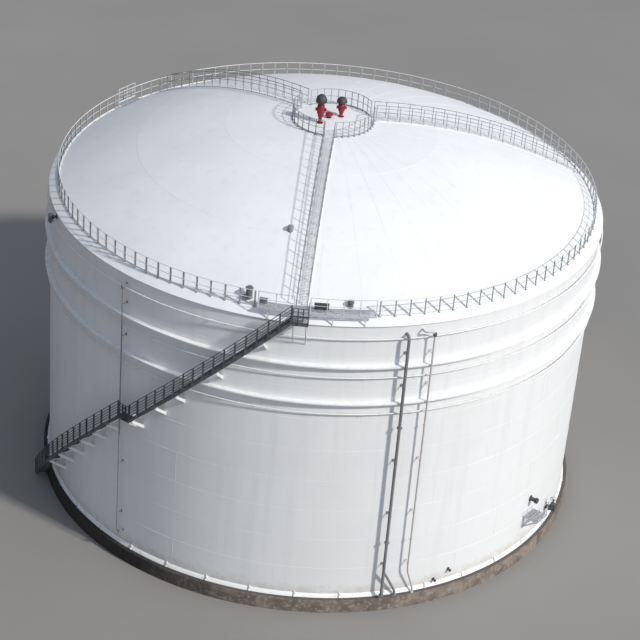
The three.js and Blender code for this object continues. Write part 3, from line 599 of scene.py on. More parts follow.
def post(radius, azimuth, low, high, size=POST):
    """A post of steel angle, from its foot to its head."""
    half, heel = size / 2, size / 3
    leg = [(-half, -half), (half, -half), (half, -heel), (-heel, -heel), (-heel, half), (-half, half)]
    return rolled(polar(radius, azimuth, low), polar(radius, azimuth, high), leg, polar(1.0, azimuth))


def foot_plate(radius, azimuth, z, size=POST_FOOT):
    """The small plate under a post."""
    inner, outer = radius - size / 2, radius + size / 2
    outline = [(inner, z), (outer, z), (outer, z + FOOT_PLATE), (inner, z + FOOT_PLATE)]
    return standing_plate(outline, size, azimuth)


def arc(radius, start, end, steps, z):
    """Points along a level arc round the tank's axis."""
    return [polar(radius, azimuth, z) for azimuth in even_steps(start, end, steps)]


def arc_rails(radius, start, end, bays, level, toe_lift=0.0):
    """A top rail, a knee rail and a toe plate along a level arc."""
    toe = level + toe_lift
    return [tube(arc(radius, start, end, bays * 2, level + TOP_RAIL), RAIL_PIPE, 8),
            tube(arc(radius, start, end, bays * 2, level + KNEE_RAIL), KNEE_PIPE, 6),
            curved_bar(radius - TOE_INNER, radius - TOE_OUTER, toe, toe + TOE_RISE, start, end,
                       bays * 2)]


railing_white = worn_finish("railing_white", (0.76, 0.77, 0.77), 0.5,
                            [(6.0, 0.45, 0.65, (0.55, 0.55, 0.54), 0.6)])
railing_grey = worn_finish("railing_grey", (0.40, 0.41, 0.42), 0.5,
                           [(6.0, 0.45, 0.65, (0.28, 0.28, 0.28), 0.6)], (60.0, 0.0005), 0.1)
z = roof_top(EDGE_RAIL)
set_piece("roof_edge_railing", arc_rails(EDGE_RAIL, EDGE_FROM, EDGE_TO, EDGE_BAYS, z, TOE_LIFT),
          railing_white, "railing_paint")
edge_posts = []
for azimuth in even_steps(EDGE_FROM, EDGE_TO, EDGE_BAYS):
    edge_posts.append(post(EDGE_RAIL, azimuth, z - POST_SUNK, z + TOP_RAIL))
    edge_posts.append(foot_plate(EDGE_RAIL, azimuth, z))
set_piece("roof_edge_posts", edge_posts, railing_grey, "railing_paint")

# Walkways up the dome
# Three strips of zinc-coated grating, made from cross bars on two edge bars and a middle bar, run
# from the roof's edge to the crown. A railing with a post every 0.8 m stands on each side.
WALKWAY_WIDTH = 0.7
WALKWAY_AZIMUTHS = (-93, 15, 135)
WALKWAY_INNER, WALKWAY_OUTER = 2.82, 17.71
WALKWAY_BAYS = 18
WALKWAY_STATIONS = 36
WALKWAY_RAIL = WALKWAY_WIDTH / 2 - 0.02
WALKWAY_POST = 0.022
WALKWAY_INSET = 0.04
DECK_RISE = 0.06
DECK_EDGE = WALKWAY_WIDTH / 2 - 0.01
DECK_BARS = ((-DECK_EDGE, DECK_RISE), (0.0, 0.02), (DECK_EDGE, DECK_RISE))
CROSS_BARS = 150
CROSS_DEPTH = 0.02
CROSS_BAR = flat_bar(0.03, CROSS_DEPTH)
EDGE_BAR = 0.012


def dark_paint(name, colour):
    """Paint of the dark steelwork, with paler dusty patches and worn patches."""
    dust = tuple(c * 1.9 + 0.02 for c in colour)
    return worn_finish(name, colour, 0.6, [
        (3.0, 0.42, 0.68, dust, 0.6), (18.0, 0.60, 0.75, (0.30, 0.27, 0.24), 0.35)], (50.0, 0.0008), 0.1)


def along_dome(radius, azimuth, across, lift):
    """A point on a walkway: out along its azimuth, sideways, and over the dome."""
    return polar(radius, azimuth, roof_top(radius) + lift) + polar(across, azimuth + 90)


zinc = worn_finish("dull_galvanised", (0.72, 0.73, 0.74), 0.5,
                   [(9.0, 0.40, 0.62, (0.60, 0.61, 0.62), 0.8)], (70.0, 0.0006), 0.2)
# A lighter copy of the zinc for the walkway decks: painted light that offsets the shade under their
# bars.
walkway_zinc_painted_light = worn_finish("walkway_zinc_painted_light_finish", (0.84, 0.85, 0.86), 0.55,
                        [(9.0, 0.40, 0.62, (0.72, 0.73, 0.74), 0.8)], (70.0, 0.0006), 0.1)
walkway_grey = dark_paint("walkway_grey", (0.24, 0.245, 0.25))
walkway_radii = even_steps(WALKWAY_INNER, WALKWAY_OUTER, WALKWAY_STATIONS)
half_bar = (WALKWAY_OUTER - WALKWAY_INNER) / CROSS_BARS / 2
for number, azimuth in enumerate(WALKWAY_AZIMUTHS, start=1):
    deck = []
    for across, deep in DECK_BARS:
        line = [along_dome(r, azimuth, across, DECK_RISE - deep / 2) for r in walkway_radii]
        deck += [rolled(start, end, flat_bar(EDGE_BAR, deep)) for start, end in zip(line, line[1:])]
    for radius in even_steps(WALKWAY_INNER + half_bar, WALKWAY_OUTER - half_bar, CROSS_BARS - 1):
        deck.append(rolled(*[along_dome(radius, azimuth, side * DECK_EDGE, DECK_RISE - CROSS_DEPTH / 2)
                             for side in (-1, 1)], CROSS_BAR))
    set_piece(f"roof_walkway_{number}_deck", deck, walkway_zinc_painted_light, "galvanised")
    for side, across in (("left", WALKWAY_RAIL), ("right", -WALKWAY_RAIL)):
        rails = [tube([along_dome(r, azimuth, across, DECK_RISE + rise) for r in walkway_radii[::2]],
                      pipe) for rise, pipe in RAILS]
        for radius in even_steps(WALKWAY_INNER + WALKWAY_INSET, WALKWAY_OUTER - WALKWAY_INSET,
                                 WALKWAY_BAYS):
            foot = along_dome(radius, azimuth, across, 0.0)
            rails.append(tube([foot, foot + UP * (DECK_RISE + TOP_RAIL)], WALKWAY_POST, 6))
        set_piece(f"roof_walkway_{number}_{side}_railing", rails, walkway_grey, "dark_steel")

# Centre railing
# Three arcs of railing round the crown, each from one walkway to the next, guard the valves.
# Their posts of steel angle stand on foot plates welded to the roof.
CENTRE_RAIL = 2.7
CENTRE_BAYS = 10
CENTRE_POST = 0.05
CENTRE_GAP = 0.045
CENTRE_INSET = 0.5
gate = math.degrees((WALKWAY_WIDTH / 2 + CENTRE_GAP) / CENTRE_RAIL)
z = roof_top(CENTRE_RAIL)
next_walkways = (*WALKWAY_AZIMUTHS[1:], WALKWAY_AZIMUTHS[0] + 360)
for number, (azimuth, following) in enumerate(zip(WALKWAY_AZIMUTHS, next_walkways), start=1):
    start, end = azimuth + gate, following - gate
    rails = arc_rails(CENTRE_RAIL, start, end, CENTRE_BAYS, z, TOE_LIFT)
    for at in even_steps(start + CENTRE_INSET, end - CENTRE_INSET, CENTRE_BAYS):
        rails.append(post(CENTRE_RAIL, at, z - POST_SUNK, z + TOP_RAIL, CENTRE_POST))
        rails.append(foot_plate(CENTRE_RAIL, at, z))
    set_piece(f"centre_railing_{number}", rails, railing_grey, "railing_paint")

# Breather valves
# Two cast valves in red enamel, on flanged necks, let the tank breathe through the crown plate. A
# cowl over each ring of openings keeps rain and flame out; its near-black colour is painted shade.
# A low vent stands beside them.
VALVES = (("breather_valve_large", 0.85, 1.15), ("breather_valve_small", 0.8, 0.8))
VALVE_PROFILE = [(0.26, 0.0), (0.26, 0.04), (0.15, 0.045), (0.15, 0.40), (0.21, 0.42), (0.21, 0.49),
                 (0.15, 0.50), (0.22, 0.53), (0.28, 0.60), (0.30, 0.72), (0.30, 0.98), (0.28, 1.08),
                 (0.20, 1.18), (0.20, 1.22)]
VALVE_BOLTS = ((0.04, 0.215, 0.02), (0.49, 0.185, 0.016))
COWL_PROFILE = [(0.20, 1.22), (0.20, 1.30), (0.42, 1.31), (0.44, 1.34), (0.42, 1.50), (0.34, 1.64),
                (0.20, 1.74), (0.05, 1.795)]
COWL_STAY = ((0.24, 1.12), (0.40, 1.32))
STAYS, STAY_WIDTH, STAY_PLATE = 8, 0.03, 0.012
ARM_OUT, ARM_LEVEL = 0.28, 0.85
ARM_PROFILE = [(0.12, 0.0), (0.12, 0.1), (0.16, 0.1), (0.16, 0.14)]
VENT_PROFILE = [(0.17, 0.0), (0.17, 0.035), (0.11, 0.04), (0.11, 0.18), (0.25, 0.20), (0.25, 0.30),
                (0.22, 0.335), (0.12, 0.37), (0.02, 0.38)]


def bolts(base, axis, circle, count, size, turn=0.0):
    """A ring of hexagon bolt heads on a flange's face."""
    return [turned([(size, 0.0), (size, size * 1.2)], base + spoke * circle, axis, 6)
            for spoke in spokes(axis, square_to(axis), count, turn)]


def standing_place(name):
    """The middle of a CAD node's foot, and its height."""
    low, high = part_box(name)
    return Vector(((low.x + high.x) / 2, (low.y + high.y) / 2, low.z)), high.z - low.z


valve_red = worn_finish("valve_red_enamel", (0.33, 0.012, 0.028), 0.4, [
    (5.0, 0.45, 0.68, (0.17, 0.01, 0.02), 0.7),
    (22.0, 0.63, 0.75, (0.09, 0.03, 0.03), 0.5)], (40.0, 0.0012))
# The cowls' near-black colour is painted shade.
cowl_painted_shade_black = dark_paint("cowl_painted_shade_black", (0.045, 0.045, 0.05))
for name, girth, rise in VALVES:
    base, _ = standing_place(name)
    cast = [turned([(r * girth, z * rise) for r, z in VALVE_PROFILE], base, sides=32)]
    for z, circle, size in VALVE_BOLTS:
        cast += bolts(base + UP * z * rise, UP, circle * girth, 12, size * girth)
    for side in (-1, 1):
        arm = base + Vector((side * ARM_OUT * girth, 0, ARM_LEVEL * rise))
        cast.append(turned([(r * girth, out * girth) for r, out in ARM_PROFILE], arm,
                           Vector((side, 0, 0)), 16))
    set_piece(name, cast, valve_red, "valve_red")
    cowl = [turned([(r * girth, z * rise) for r, z in COWL_PROFILE], base, sides=32)]
    for azimuth in all_round(STAYS):
        cowl.append(rolled(*[base + polar(r * girth, azimuth, z * rise) for r, z in COWL_STAY],
                           flat_bar(STAY_WIDTH * girth, STAY_PLATE * girth)))
    set_piece(f"{name}_cowl", cowl, cowl_painted_shade_black, "dark_steel")
base, _ = standing_place("crown_vent")
vent = [turned(VENT_PROFILE, base, sides=28), *bolts(base + UP * 0.035, UP, 0.14, 8, 0.014)]
set_piece("crown_vent", vent, valve_red, "valve_red")

# Hatches on the roof
# A low hatch beside the front walkway, a tall gauge hatch and a low sampling hatch at the edge.
# Each is a short steel neck with a hinged lid and a handle, held down by swing bolts.
hatch_grey = dark_paint("hatch_grey", (0.15, 0.155, 0.16))
worn_grey = dark_paint("worn_grey", (0.24, 0.245, 0.25))
HATCHES = (("roof_hatch", 0.17, 0.25, worn_grey), ("gauge_hatch", 0.20, 0.65, hatch_grey),
           ("sampling_hatch", 0.17, 0.30, hatch_grey))
HATCH_HINGE = 0.12
HATCH_GRIP = 0.09
for name, radius, height, paint in HATCHES:
    base, lid = standing_place(name)
    rim, back = radius * 1.2, radius * 1.18
    grip = [(-HATCH_GRIP, lid - 0.03), (-HATCH_GRIP, lid), (HATCH_GRIP, lid), (HATCH_GRIP, lid - 0.03)]
    solids = [
        turned([(radius, -0.03), (radius, height - 0.03), (rim, height - 0.03), (rim, height - 0.003)],
               base, sides=32),
        turned([(rim, height), (rim, height + 0.025), (radius, height + 0.04),
                (radius * 0.5, lid - 0.005), (0.02, lid)], base, sides=32),
        rolled(base + Vector((-HATCH_HINGE, back, height + 0.02)),
               base + Vector((HATCH_HINGE, back, height + 0.02)), flat_bar(0.06, 0.04)),
        tube([base + Vector((x, -radius * 0.6, z)) for x, z in grip], 0.012, 6)]
    solids += bolts(base + UP * (height + 0.02), UP, radius * 1.1, 8, 0.022, 0.5)
    set_piece(name, solids, paint, "dark_steel")

# Edge platform over the stair
# A strip of grating in a frame of flat bar follows the roof's edge at the head of the stair. Legs
# of steel angle carry it down to the roof, and its railing has a knee rail and a toe plate.
HEAD_LEVEL = TOP + 0.5
PLATFORM_LEVEL = HEAD_LEVEL + 0.2
PLATFORM_FROM, PLATFORM_TO = -101.0, -79.0
PLATFORM_INNER = 17.75
PLATFORM_PLATE = 0.04
PLATFORM_LEGS = (-99, -87, -81)
PLATFORM_LEG = 0.07
PLATFORM_BAY = 3
PLATFORM_RAIL = ROOF_EDGE - 0.045
STAIR_HEAD = -94.2
HEAD_SPAN = 2.9
BEARING_STEP = 0.2
FRAME_DEPTH = 0.1


def grating(inner, outer, start, end, level, step, rods):
    """A floor of upright bars along the radius and round rods across them, in a flat bar frame."""
    count = max(round((end - start) / step), 1)
    upright = flat_bar(0.008, PLATFORM_PLATE)
    bars = [radial_bar(inner, outer, azimuth, level - PLATFORM_PLATE / 2, upright)
            for azimuth in even_steps(start, end, count)]
    lines = [(r, 0.005, 0.03, 0.002) for r in even_steps(inner, outer, rods + 1)[1:-1]]
    lines += [(r, 0.008, FRAME_DEPTH, 0.0) for r in (inner + 0.008, outer - 0.008)]
    bars += [curved_bar(r - half, r + half, level - deep, level - sunk, start, end, count)
             for r, half, deep, sunk in lines]
    return bars


def arc_railing(radius, start, end, bays, level, size=0.05):
    """Rails and a toe plate on posts, along a level arc."""
    solids = arc_rails(radius, start, end, bays, level)
    inset = math.degrees(size / 2 / radius)
    for azimuth in even_steps(start + inset, end - inset, bays):
        solids.append(post(radius, azimuth, level - PLATFORM_PLATE, level + TOP_RAIL, size))
    return solids


platform = grating(PLATFORM_INNER, ROOF_EDGE, PLATFORM_FROM, PLATFORM_TO, PLATFORM_LEVEL,
                   BEARING_STEP, 5)
for start, end in ((PLATFORM_FROM, STAIR_HEAD), (STAIR_HEAD + HEAD_SPAN, PLATFORM_TO)):
    bays = round((end - start) / PLATFORM_BAY)
    platform += arc_railing(PLATFORM_RAIL, start, end, bays, PLATFORM_LEVEL)
for azimuth in PLATFORM_LEGS:
    for radius in (PLATFORM_INNER + 0.05, PLATFORM_RAIL):
        foot = roof_top(radius)
        platform.append(post(radius, azimuth, foot - 0.01, PLATFORM_LEVEL - 0.02, PLATFORM_LEG))
        platform.append(foot_plate(radius, azimuth, foot))
set_piece("edge_platform", platform, zinc, "galvanised")

# Instrument boxes
# Sheet steel boxes for the gauge wiring stand on short legs: a long dark one and a small one on the
# edge platform, and a third on the roof beside it. Each has a lid with a raised rim.
LONG_BOX = ((17.97, -89.2, 0.85, 0.25, 0.3, PLATFORM_LEVEL),)
SMALL_BOXES = ((18.05, -100.3, 0.45, 0.22, 0.25, PLATFORM_LEVEL),
               (17.72, -104.3, 0.25, 0.2, 0.2, roof_top(17.72)))
BOX_LEG = 0.05
BOX_LIFT = 0.06
BOX_RIM, BOX_LID = 0.02, 0.03


def instrument_box(radius, azimuth, width, depth, tall, foot):
    """A box with a lid on two legs: its place, width, depth and height, and what it stands on."""
    base = foot + BOX_LIFT
    half = math.degrees(width / 2 / radius)
    solids = [post(radius, azimuth + side * half * 0.8, foot - 0.01, base + 0.01, BOX_LEG)
              for side in (-1, 1)]
    for rim, low, high in ((0.0, base, base + tall), (BOX_RIM, base + tall, base + tall + BOX_LID)):
        turn, reach = half + math.degrees(rim / radius), depth / 2 + rim
        solids.append(curved_bar(radius - reach, radius + reach, low, high, azimuth - turn,
                                 azimuth + turn))
    return solids


for name, colour, places in (("long_instrument_box", (0.05, 0.052, 0.056), LONG_BOX),
                             ("small_instrument_boxes", (0.20, 0.205, 0.21), SMALL_BOXES)):
    boxes = [solid for place in places for solid in instrument_box(*place)]
    set_piece(name, boxes, dark_paint(f"{name}_paint", colour), "dark_steel")

# Rest platform past the third walkway
# A small platform of steel grating with a railing on its outer side stands at the roof's edge.
# Six legs of square bar carry it down to the roof plates.
REST_AZIMUTH = 147
REST_INNER, REST_OUTER = 17.0, 17.7
REST_HALF = 0.9
REST_BARS = 30
REST_LEG = flat_bar(0.05, 0.05)
REST_RAIL = REST_OUTER - RAIL_PIPE
rest_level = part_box("rim_platform")[1].z - RAIL_RISE


def rest_point(radius, across, lift):
    """A point by the rest platform: its distance from the axis, sideways, and over the floor."""
    return polar(radius, REST_AZIMUTH, rest_level + lift) + polar(across, REST_AZIMUTH + 90)


rest = [rolled(rest_point(REST_INNER, y, -0.02), rest_point(REST_OUTER, y, -0.02), flat_bar(0.008, 0.04))
        for y in even_steps(-REST_HALF, REST_HALF, REST_BARS)]
for radius in (REST_INNER, REST_INNER + 0.35, REST_OUTER):
    rest.append(rolled(rest_point(radius, -REST_HALF, -0.03), rest_point(radius, REST_HALF, -0.03),
                       flat_bar(0.012, 0.06)))
for rise, pipe in (*RAILS, (0.08, 0.04)):
    rest.append(tube([rest_point(REST_RAIL, y, rise) for y in (-REST_HALF, REST_HALF)], pipe))
for y in (-REST_HALF + 0.03, 0.0, REST_HALF - 0.03):
    for radius, head in ((REST_INNER + 0.05, -0.02), (REST_RAIL, TOP_RAIL)):
        foot = roof_top(math.hypot(radius, y)) - 0.01 - rest_level
        rest.append(rolled(rest_point(radius, y, foot), rest_point(radius, y, head), REST_LEG,
                           polar(1.0, REST_AZIMUTH)))
set_piece("rim_platform", rest, zinc, "galvanised")

# Stair flights
# The spiral stair climbs the shell in two flights of grating treads between two rolled channels.
# Each tread is a frame of flat bars with a deeper nosing, bolted to the channels.
STAIR_INNER, STAIR_OUTER = SHELL + 0.45, SHELL + 1.15
RISERS, LOWER_RISERS = 110, 59
UPPER_RISERS = RISERS - LOWER_RISERS
GOING = 0.6
LANDING_SPAN = 2.5
RISER = HEAD_LEVEL / RISERS
LANDING_LEVEL = LOWER_RISERS * RISER
LANDING_TO = STAIR_HEAD - UPPER_RISERS * GOING
LANDING_FROM = LANDING_TO - LANDING_SPAN
STAIR_FOOT = LANDING_FROM - LOWER_RISERS * GOING
CHANNEL = 0.29
CHANNEL_FLANGE = 0.07
CHANNEL_WEB = 0.012
CHANNEL_TOP = RISER + 0.02
TREAD_INNER, TREAD_OUTER = STAIR_INNER + CHANNEL_WEB, STAIR_OUTER - CHANNEL_WEB
TREAD_DEPTH = 0.23
NOSING, TREAD_BAR, TREAD_TIE = (0.03, 0.06), (0.01, 0.03), (0.01, 0.026)
TREAD_BARS = (NOSING, *[TREAD_BAR] * 5)
FLIGHT_GAP = 0.02


def stair_level(azimuth):
    """Walking level of the stair at an azimuth."""
    if azimuth >= LANDING_TO:
        return LANDING_LEVEL + (azimuth - LANDING_TO) * RISER / GOING
    return LANDING_LEVEL - (LANDING_FROM - azimuth) * RISER / GOING


def channel_section(web, tip):
    """A channel that climbs with the stair, from the radius of its web and of its flanges' tip."""
    near = web + math.copysign(CHANNEL_WEB, tip - web)

    def section(azimuth):
        top = stair_level(azimuth) + CHANNEL_TOP
        low = max(top - CHANNEL, 0.0)
        return [(web, low), (tip, low), (tip, low + CHANNEL_WEB), (near, low + CHANNEL_WEB),
                (near, top - CHANNEL_WEB), (tip, top - CHANNEL_WEB), (tip, top), (web, top)]
    return section


def tread(azimuth, level):
    """One grating tread, its bars from channel to channel, with a deeper nosing at its front."""
    side = polar(1.0, azimuth + 90)
    bars = []
    for (wide, deep), along in zip(TREAD_BARS, even_steps(-0.5, 0.5, len(TREAD_BARS) - 1)):
        across = side * TREAD_DEPTH * along
        bars.append(rolled(polar(TREAD_INNER, azimuth, level - deep / 2) + across,
                           polar(TREAD_OUTER, azimuth, level - deep / 2) + across, flat_bar(wide, deep)))
    for radius in (TREAD_INNER + 0.02, (TREAD_INNER + TREAD_OUTER) / 2, TREAD_OUTER - 0.02):
        centre = polar(radius, azimuth, level - 0.015)
        bars.append(rolled(centre - side * TREAD_DEPTH / 2, centre + side * TREAD_DEPTH / 2,
                           flat_bar(*TREAD_TIE)))
    return bars


stair_grey = dark_paint("stair_grey", (0.09, 0.095, 0.102))
for name, start, end, risers in (("stair_lower_flight", STAIR_FOOT, LANDING_FROM, LOWER_RISERS),
                                 ("stair_upper_flight", LANDING_TO, STAIR_HEAD, UPPER_RISERS)):
    stations = even_steps(start, end - FLIGHT_GAP, risers * 2)
    flight = [swept(channel_section(web, tip), stations, False)
              for web, tip in ((STAIR_INNER, STAIR_INNER + CHANNEL_FLANGE),
                               (STAIR_OUTER, STAIR_OUTER - CHANNEL_FLANGE))]
    for i in range(1, risers):
        flight += tread(start + (i - 0.5) * GOING, stair_level(start) + i * RISER)
    set_piece(name, flight, stair_grey, "dark_steel")

# Stair handrails
# Posts of steel angle, about 0.75 m apart, are bolted to the outer channels and carry a round
# handrail with four thinner rails under it.
HANDRAIL_LINE = STAIR_OUTER + 0.019
HANDRAIL_BAYS = 16
HANDRAIL_POST = 0.09
HANDRAIL_INSET = 0.1
HANDRAIL_RISE = RISER + TOP_RAIL
THIN_RAIL = 0.022
THIN_RAILS = (0.22, 0.40, 0.58, 0.76)


def climbing_rail(start, end, rise, pipe):
    """A round rail that climbs with the stair."""
    return tube([polar(HANDRAIL_LINE, azimuth, stair_level(azimuth) + rise)
                 for azimuth in even_steps(start, end, HANDRAIL_BAYS * 2)], pipe)


for name, start, end in (("stair_lower_handrail", STAIR_FOOT, LANDING_FROM - FLIGHT_GAP),
                         ("stair_upper_handrail", LANDING_TO + FLIGHT_GAP, STAIR_HEAD - FLIGHT_GAP)):
    rails = [climbing_rail(start, end, HANDRAIL_RISE, RAIL_PIPE)]
    rails += [climbing_rail(start, end, RISER + RAIL_RISE * part, THIN_RAIL) for part in THIN_RAILS]
    for azimuth in even_steps(start + HANDRAIL_INSET, end - HANDRAIL_INSET, HANDRAIL_BAYS):
        level = stair_level(azimuth)
        rails.append(post(HANDRAIL_LINE, azimuth, max(level, 0.01), level + HANDRAIL_RISE,
                          HANDRAIL_POST))
    set_piece(name, rails, stair_grey, "dark_steel")

# Stair brackets
# White triangular brackets of rolled angle, each welded to a pad on the shell, carry the flights
# and the rest landing under their outer channel. Two long angles prop the head landing.
BRACKETS = (-151.5, -147, -142.6, -138.5, -134.5, -130.5, -124.2, -119, -114.8, -107.2, -99)
BRACKET_DROP = 1.0
BRACKET_LEG = 0.075
PAD_TURN = math.degrees(0.09 / SHELL)
STRUT_DEPTH = 0.24
STRUT_PLATE = 0.1
PROP_FOOT = TOP - 1.4
PROP_INSET = 0.3
# The brackets' white is a little darker than the shell's white: painted shade.
bracket_white_painted_shade = worn_finish("bracket_paint_painted_shade", (0.82, 0.82, 0.81), 0.45,
                            [(6.0, 0.5, 0.7, (0.66, 0.64, 0.61), 0.5)], (50.0, 0.0006))


def bracket(azimuth, level, tip=STAIR_OUTER - 0.01, drop=BRACKET_DROP, depth=STRUT_DEPTH):
    """A wall pad, a level arm and a deep strut back down to the pad."""
    low = level - drop
    strut = [(WELD_LINE, low), (tip, level - 0.08), (tip, level), (tip - depth * 0.8, level),
             (WELD_LINE, low + depth)]
    return [curved_bar(WELD_LINE, SHELL + 0.012, low - 0.06, level + 0.04, azimuth - PAD_TURN,
                       azimuth + PAD_TURN),
            radial_bar(WELD_LINE, tip, azimuth, level, angle_bar(BRACKET_LEG)),
            standing_plate(strut, STRUT_PLATE, azimuth, STRUT_PLATE / 2)]


brackets = bracket((LANDING_FROM + LANDING_TO) / 2, LANDING_LEVEL - FRAME_DEPTH)
for azimuth in BRACKETS:
    brackets += bracket(azimuth, stair_level(azimuth) + CHANNEL_TOP - CHANNEL)
for azimuth in (STAIR_HEAD + PROP_INSET, STAIR_HEAD + HEAD_SPAN - PROP_INSET):
    brackets.append(rolled(polar(SHELL, azimuth, PROP_FOOT),
                           polar(STAIR_OUTER - 0.08, azimuth, HEAD_LEVEL - FRAME_DEPTH),
                           angle_bar(0.06, 0.01)))
set_piece("stair_brackets", brackets, bracket_white_painted_shade, "shell_paint")

# Rest landing and head landing
# Each is a floor of grating in a frame of flat bar, bolted to the ends of the flights, with a
# railing outside it. The head landing is a step below the edge platform, its far end railed too.
LANDING_RAIL = STAIR_OUTER - RAIL_PIPE
LANDING_POST = 0.07
LANDING_RODS = 6
LANDING_STEP = 0.08
LANDING_RAILS = (0.28, 0.76)
END_POST = 0.045
END_INSET = 0.12
LANDINGS = (("stair_landing", LANDING_FROM + 0.01, LANDING_TO - 0.01, LANDING_LEVEL, STAIR_INNER),
            ("stair_head_landing", STAIR_HEAD + 0.01, STAIR_HEAD + HEAD_SPAN, HEAD_LEVEL,
             ROOF_EDGE + 0.002))
for name, start, end, level, inner in LANDINGS:
    landing = grating(inner, STAIR_OUTER, start, end, level, LANDING_STEP, LANDING_RODS)
    landing += arc_railing(LANDING_RAIL, start, end, 3, level, LANDING_POST)
    landing += [tube(arc(LANDING_RAIL, start, end, 6, level + RAIL_RISE * part), THIN_RAIL, 6)
                for part in LANDING_RAILS]
    if level == HEAD_LEVEL:
        near, far, turn = inner + 0.2, STAIR_OUTER - 0.02, end - END_INSET
        landing += [tube([polar(near, turn, level + rise), polar(far, turn, level + rise)], pipe)
                    for rise, pipe in RAILS]
        landing.append(post(near, turn, level - PLATFORM_PLATE, level + TOP_RAIL, END_POST))
    set_piece(name, landing, stair_grey, "dark_steel")

# Risers on the shell
# Steel pipes stand off the shell on clamped brackets: a thick cooling water riser with a slanting
# branch at its foot, a slimmer foam riser with a hooked head and a thin pipe for the level gauge.
CLAMP_LEVELS = (2.5, 6.5, 10.5, 16.0, 18.3)
FLANGE_LEVELS = (4.5, 13.2)
LEDGE = WALL_TOP + 0.0003
WELDED = -0.005
RISER_HEAD = FOOT + 19.64
COOLING, COOLING_OFF, COOLING_PIPE = -72.8, 0.5, 0.1
FOAM, FOAM_OFF, FOAM_PIPE = -67.8, 0.45, 0.06
FOAM_HEAD = FOOT + 19.88
FOAM_INLET = FOAM - 2
GAUGE, GAUGE_OFF, GAUGE_PIPE = -129.3, 0.4, 0.04
BRANCH, BRANCH_PIPE = -69.8, 0.08
FOAM_FOOT = -66
GAUGE_TAP, GAUGE_COCK = -128.6, -128.9
FOOT_OFF, FOOT_RISE = 0.26, 0.35
TAP_LEVEL = FOOT + 1.1
BEND = 0.35


def elbowed(corners, bend, steps=6):
    """A pipe's line through its corners, with an elbow at each."""
    line = [corners[0]]
    for before, corner, after in zip(corners, corners[1:], corners[2:]):
        back, onward = before - corner, after - corner
        first = corner + back.normalized() * min(bend, back.length * 0.45)
        last = corner + onward.normalized() * min(bend, onward.length * 0.45)
        line += [first.lerp(corner, t).lerp(corner.lerp(last, t), t) for t in even_steps(0, 1, steps)]
    line.append(corners[-1])
    return line


def riser_pipe(corners, bend, pipe, sides, steps=6):
    """A pipe from corners of [distance off the shell, azimuth, height]."""
    line = [polar(SHELL + off, azimuth, z) for off, azimuth, z in corners]
    return tube(elbowed(line, bend, steps), pipe, sides)


def collar(profile, off, azimuth, z):
    """A round part with an upright axis, off the shell."""
    return turned(profile, polar(SHELL + off, azimuth, z))


def pipe_flanges(azimuth, off, pipe, thick):
    """Pairs of bolted flanges on an upright pipe."""
    rim, solids = pipe * 1.75, []
    for base in [polar(SHELL + off, azimuth, FOOT + level) for level in FLANGE_LEVELS]:
        solids += [turned([(rim, low), (rim, high)], base)
                   for low, high in ((-thick, -0.002), (0.002, thick))]
        solids += bolts(base + UP * thick, UP, pipe * 1.4, 8, pipe * 0.14)
    return solids


def clamps(azimuth, off, pipe, leg=0.05):
    """Brackets from the shell with a clamp band round an upright pipe."""
    solids = []
    for z in [FOOT + level for level in CLAMP_LEVELS]:
        solids += [radial_bar(WELD_LINE, SHELL + off, azimuth, z, angle_bar(leg)),
                   collar([(pipe * 1.12, -0.03), (pipe * 1.12, 0.03)], off, azimuth, z),
                   curved_bar(SHELL - 0.004, SHELL + 0.008, z - 0.1, z + 0.1, azimuth - leg * 6,
                              azimuth + leg * 6)]
    return solids


riser_grey = worn_finish("riser_grey", (0.20, 0.20, 0.21), 0.5,
                         [(2.0, 0.42, 0.66, (0.30, 0.29, 0.285), 0.6)], (40.0, 0.0008), 0.1)
cooling = [riser_pipe([(COOLING_OFF, COOLING, FOOT + 0.3), (COOLING_OFF, COOLING, RISER_HEAD),
                       (WELDED, COOLING, RISER_HEAD)], BEND, COOLING_PIPE, 20),
           riser_pipe([(COOLING_OFF, COOLING, FOOT + 2.2), (FOOT_OFF, BRANCH, LEDGE + FOOT_RISE),
                       (FOOT_OFF, BRANCH, LEDGE)], 0.3, BRANCH_PIPE, 16),
           collar([(0.15, 0.0), (0.15, 0.025)], FOOT_OFF, BRANCH, LEDGE),
           collar([(0.175, 0.0), (0.175, 0.03)], COOLING_OFF, COOLING, FOOT + 0.28),
           *clamps(COOLING, COOLING_OFF, COOLING_PIPE),
           *pipe_flanges(COOLING, COOLING_OFF, COOLING_PIPE, 0.03)]
set_piece("cooling_riser", cooling, riser_grey, "riser_grey")

foam_grey = worn_finish("foam_riser_primer", (0.58, 0.545, 0.54), 0.5,
                        [(2.0, 0.42, 0.66, (0.68, 0.63, 0.62), 0.6)], (40.0, 0.0008), 0.1)
foam = [riser_pipe([(FOOT_OFF, FOAM_FOOT, LEDGE), (FOOT_OFF, FOAM_FOOT, LEDGE + FOOT_RISE),
                    (FOAM_OFF, FOAM, FOOT + 2.0), (FOAM_OFF, FOAM, FOAM_HEAD),
                    (FOAM_OFF, FOAM_INLET, FOAM_HEAD), (WELDED, FOAM_INLET, FOAM_HEAD)],
                   BEND, FOAM_PIPE, 14, 8),
        collar([(0.12, 0.0), (0.12, 0.025)], FOOT_OFF, FOAM_FOOT, LEDGE),
        *clamps(FOAM, FOAM_OFF, FOAM_PIPE), *pipe_flanges(FOAM, FOAM_OFF, FOAM_PIPE, 0.02)]
set_piece("foam_riser", foam, foam_grey, "shell_paint")
coupling = collar([(0.095, -0.14), (0.12, -0.12), (0.12, 0.08), (0.095, 0.10)], FOAM_OFF, FOAM,
                  FOAM_HEAD - 0.2)
set_piece("foam_riser_coupling", [coupling], stair_grey, "dark_steel")

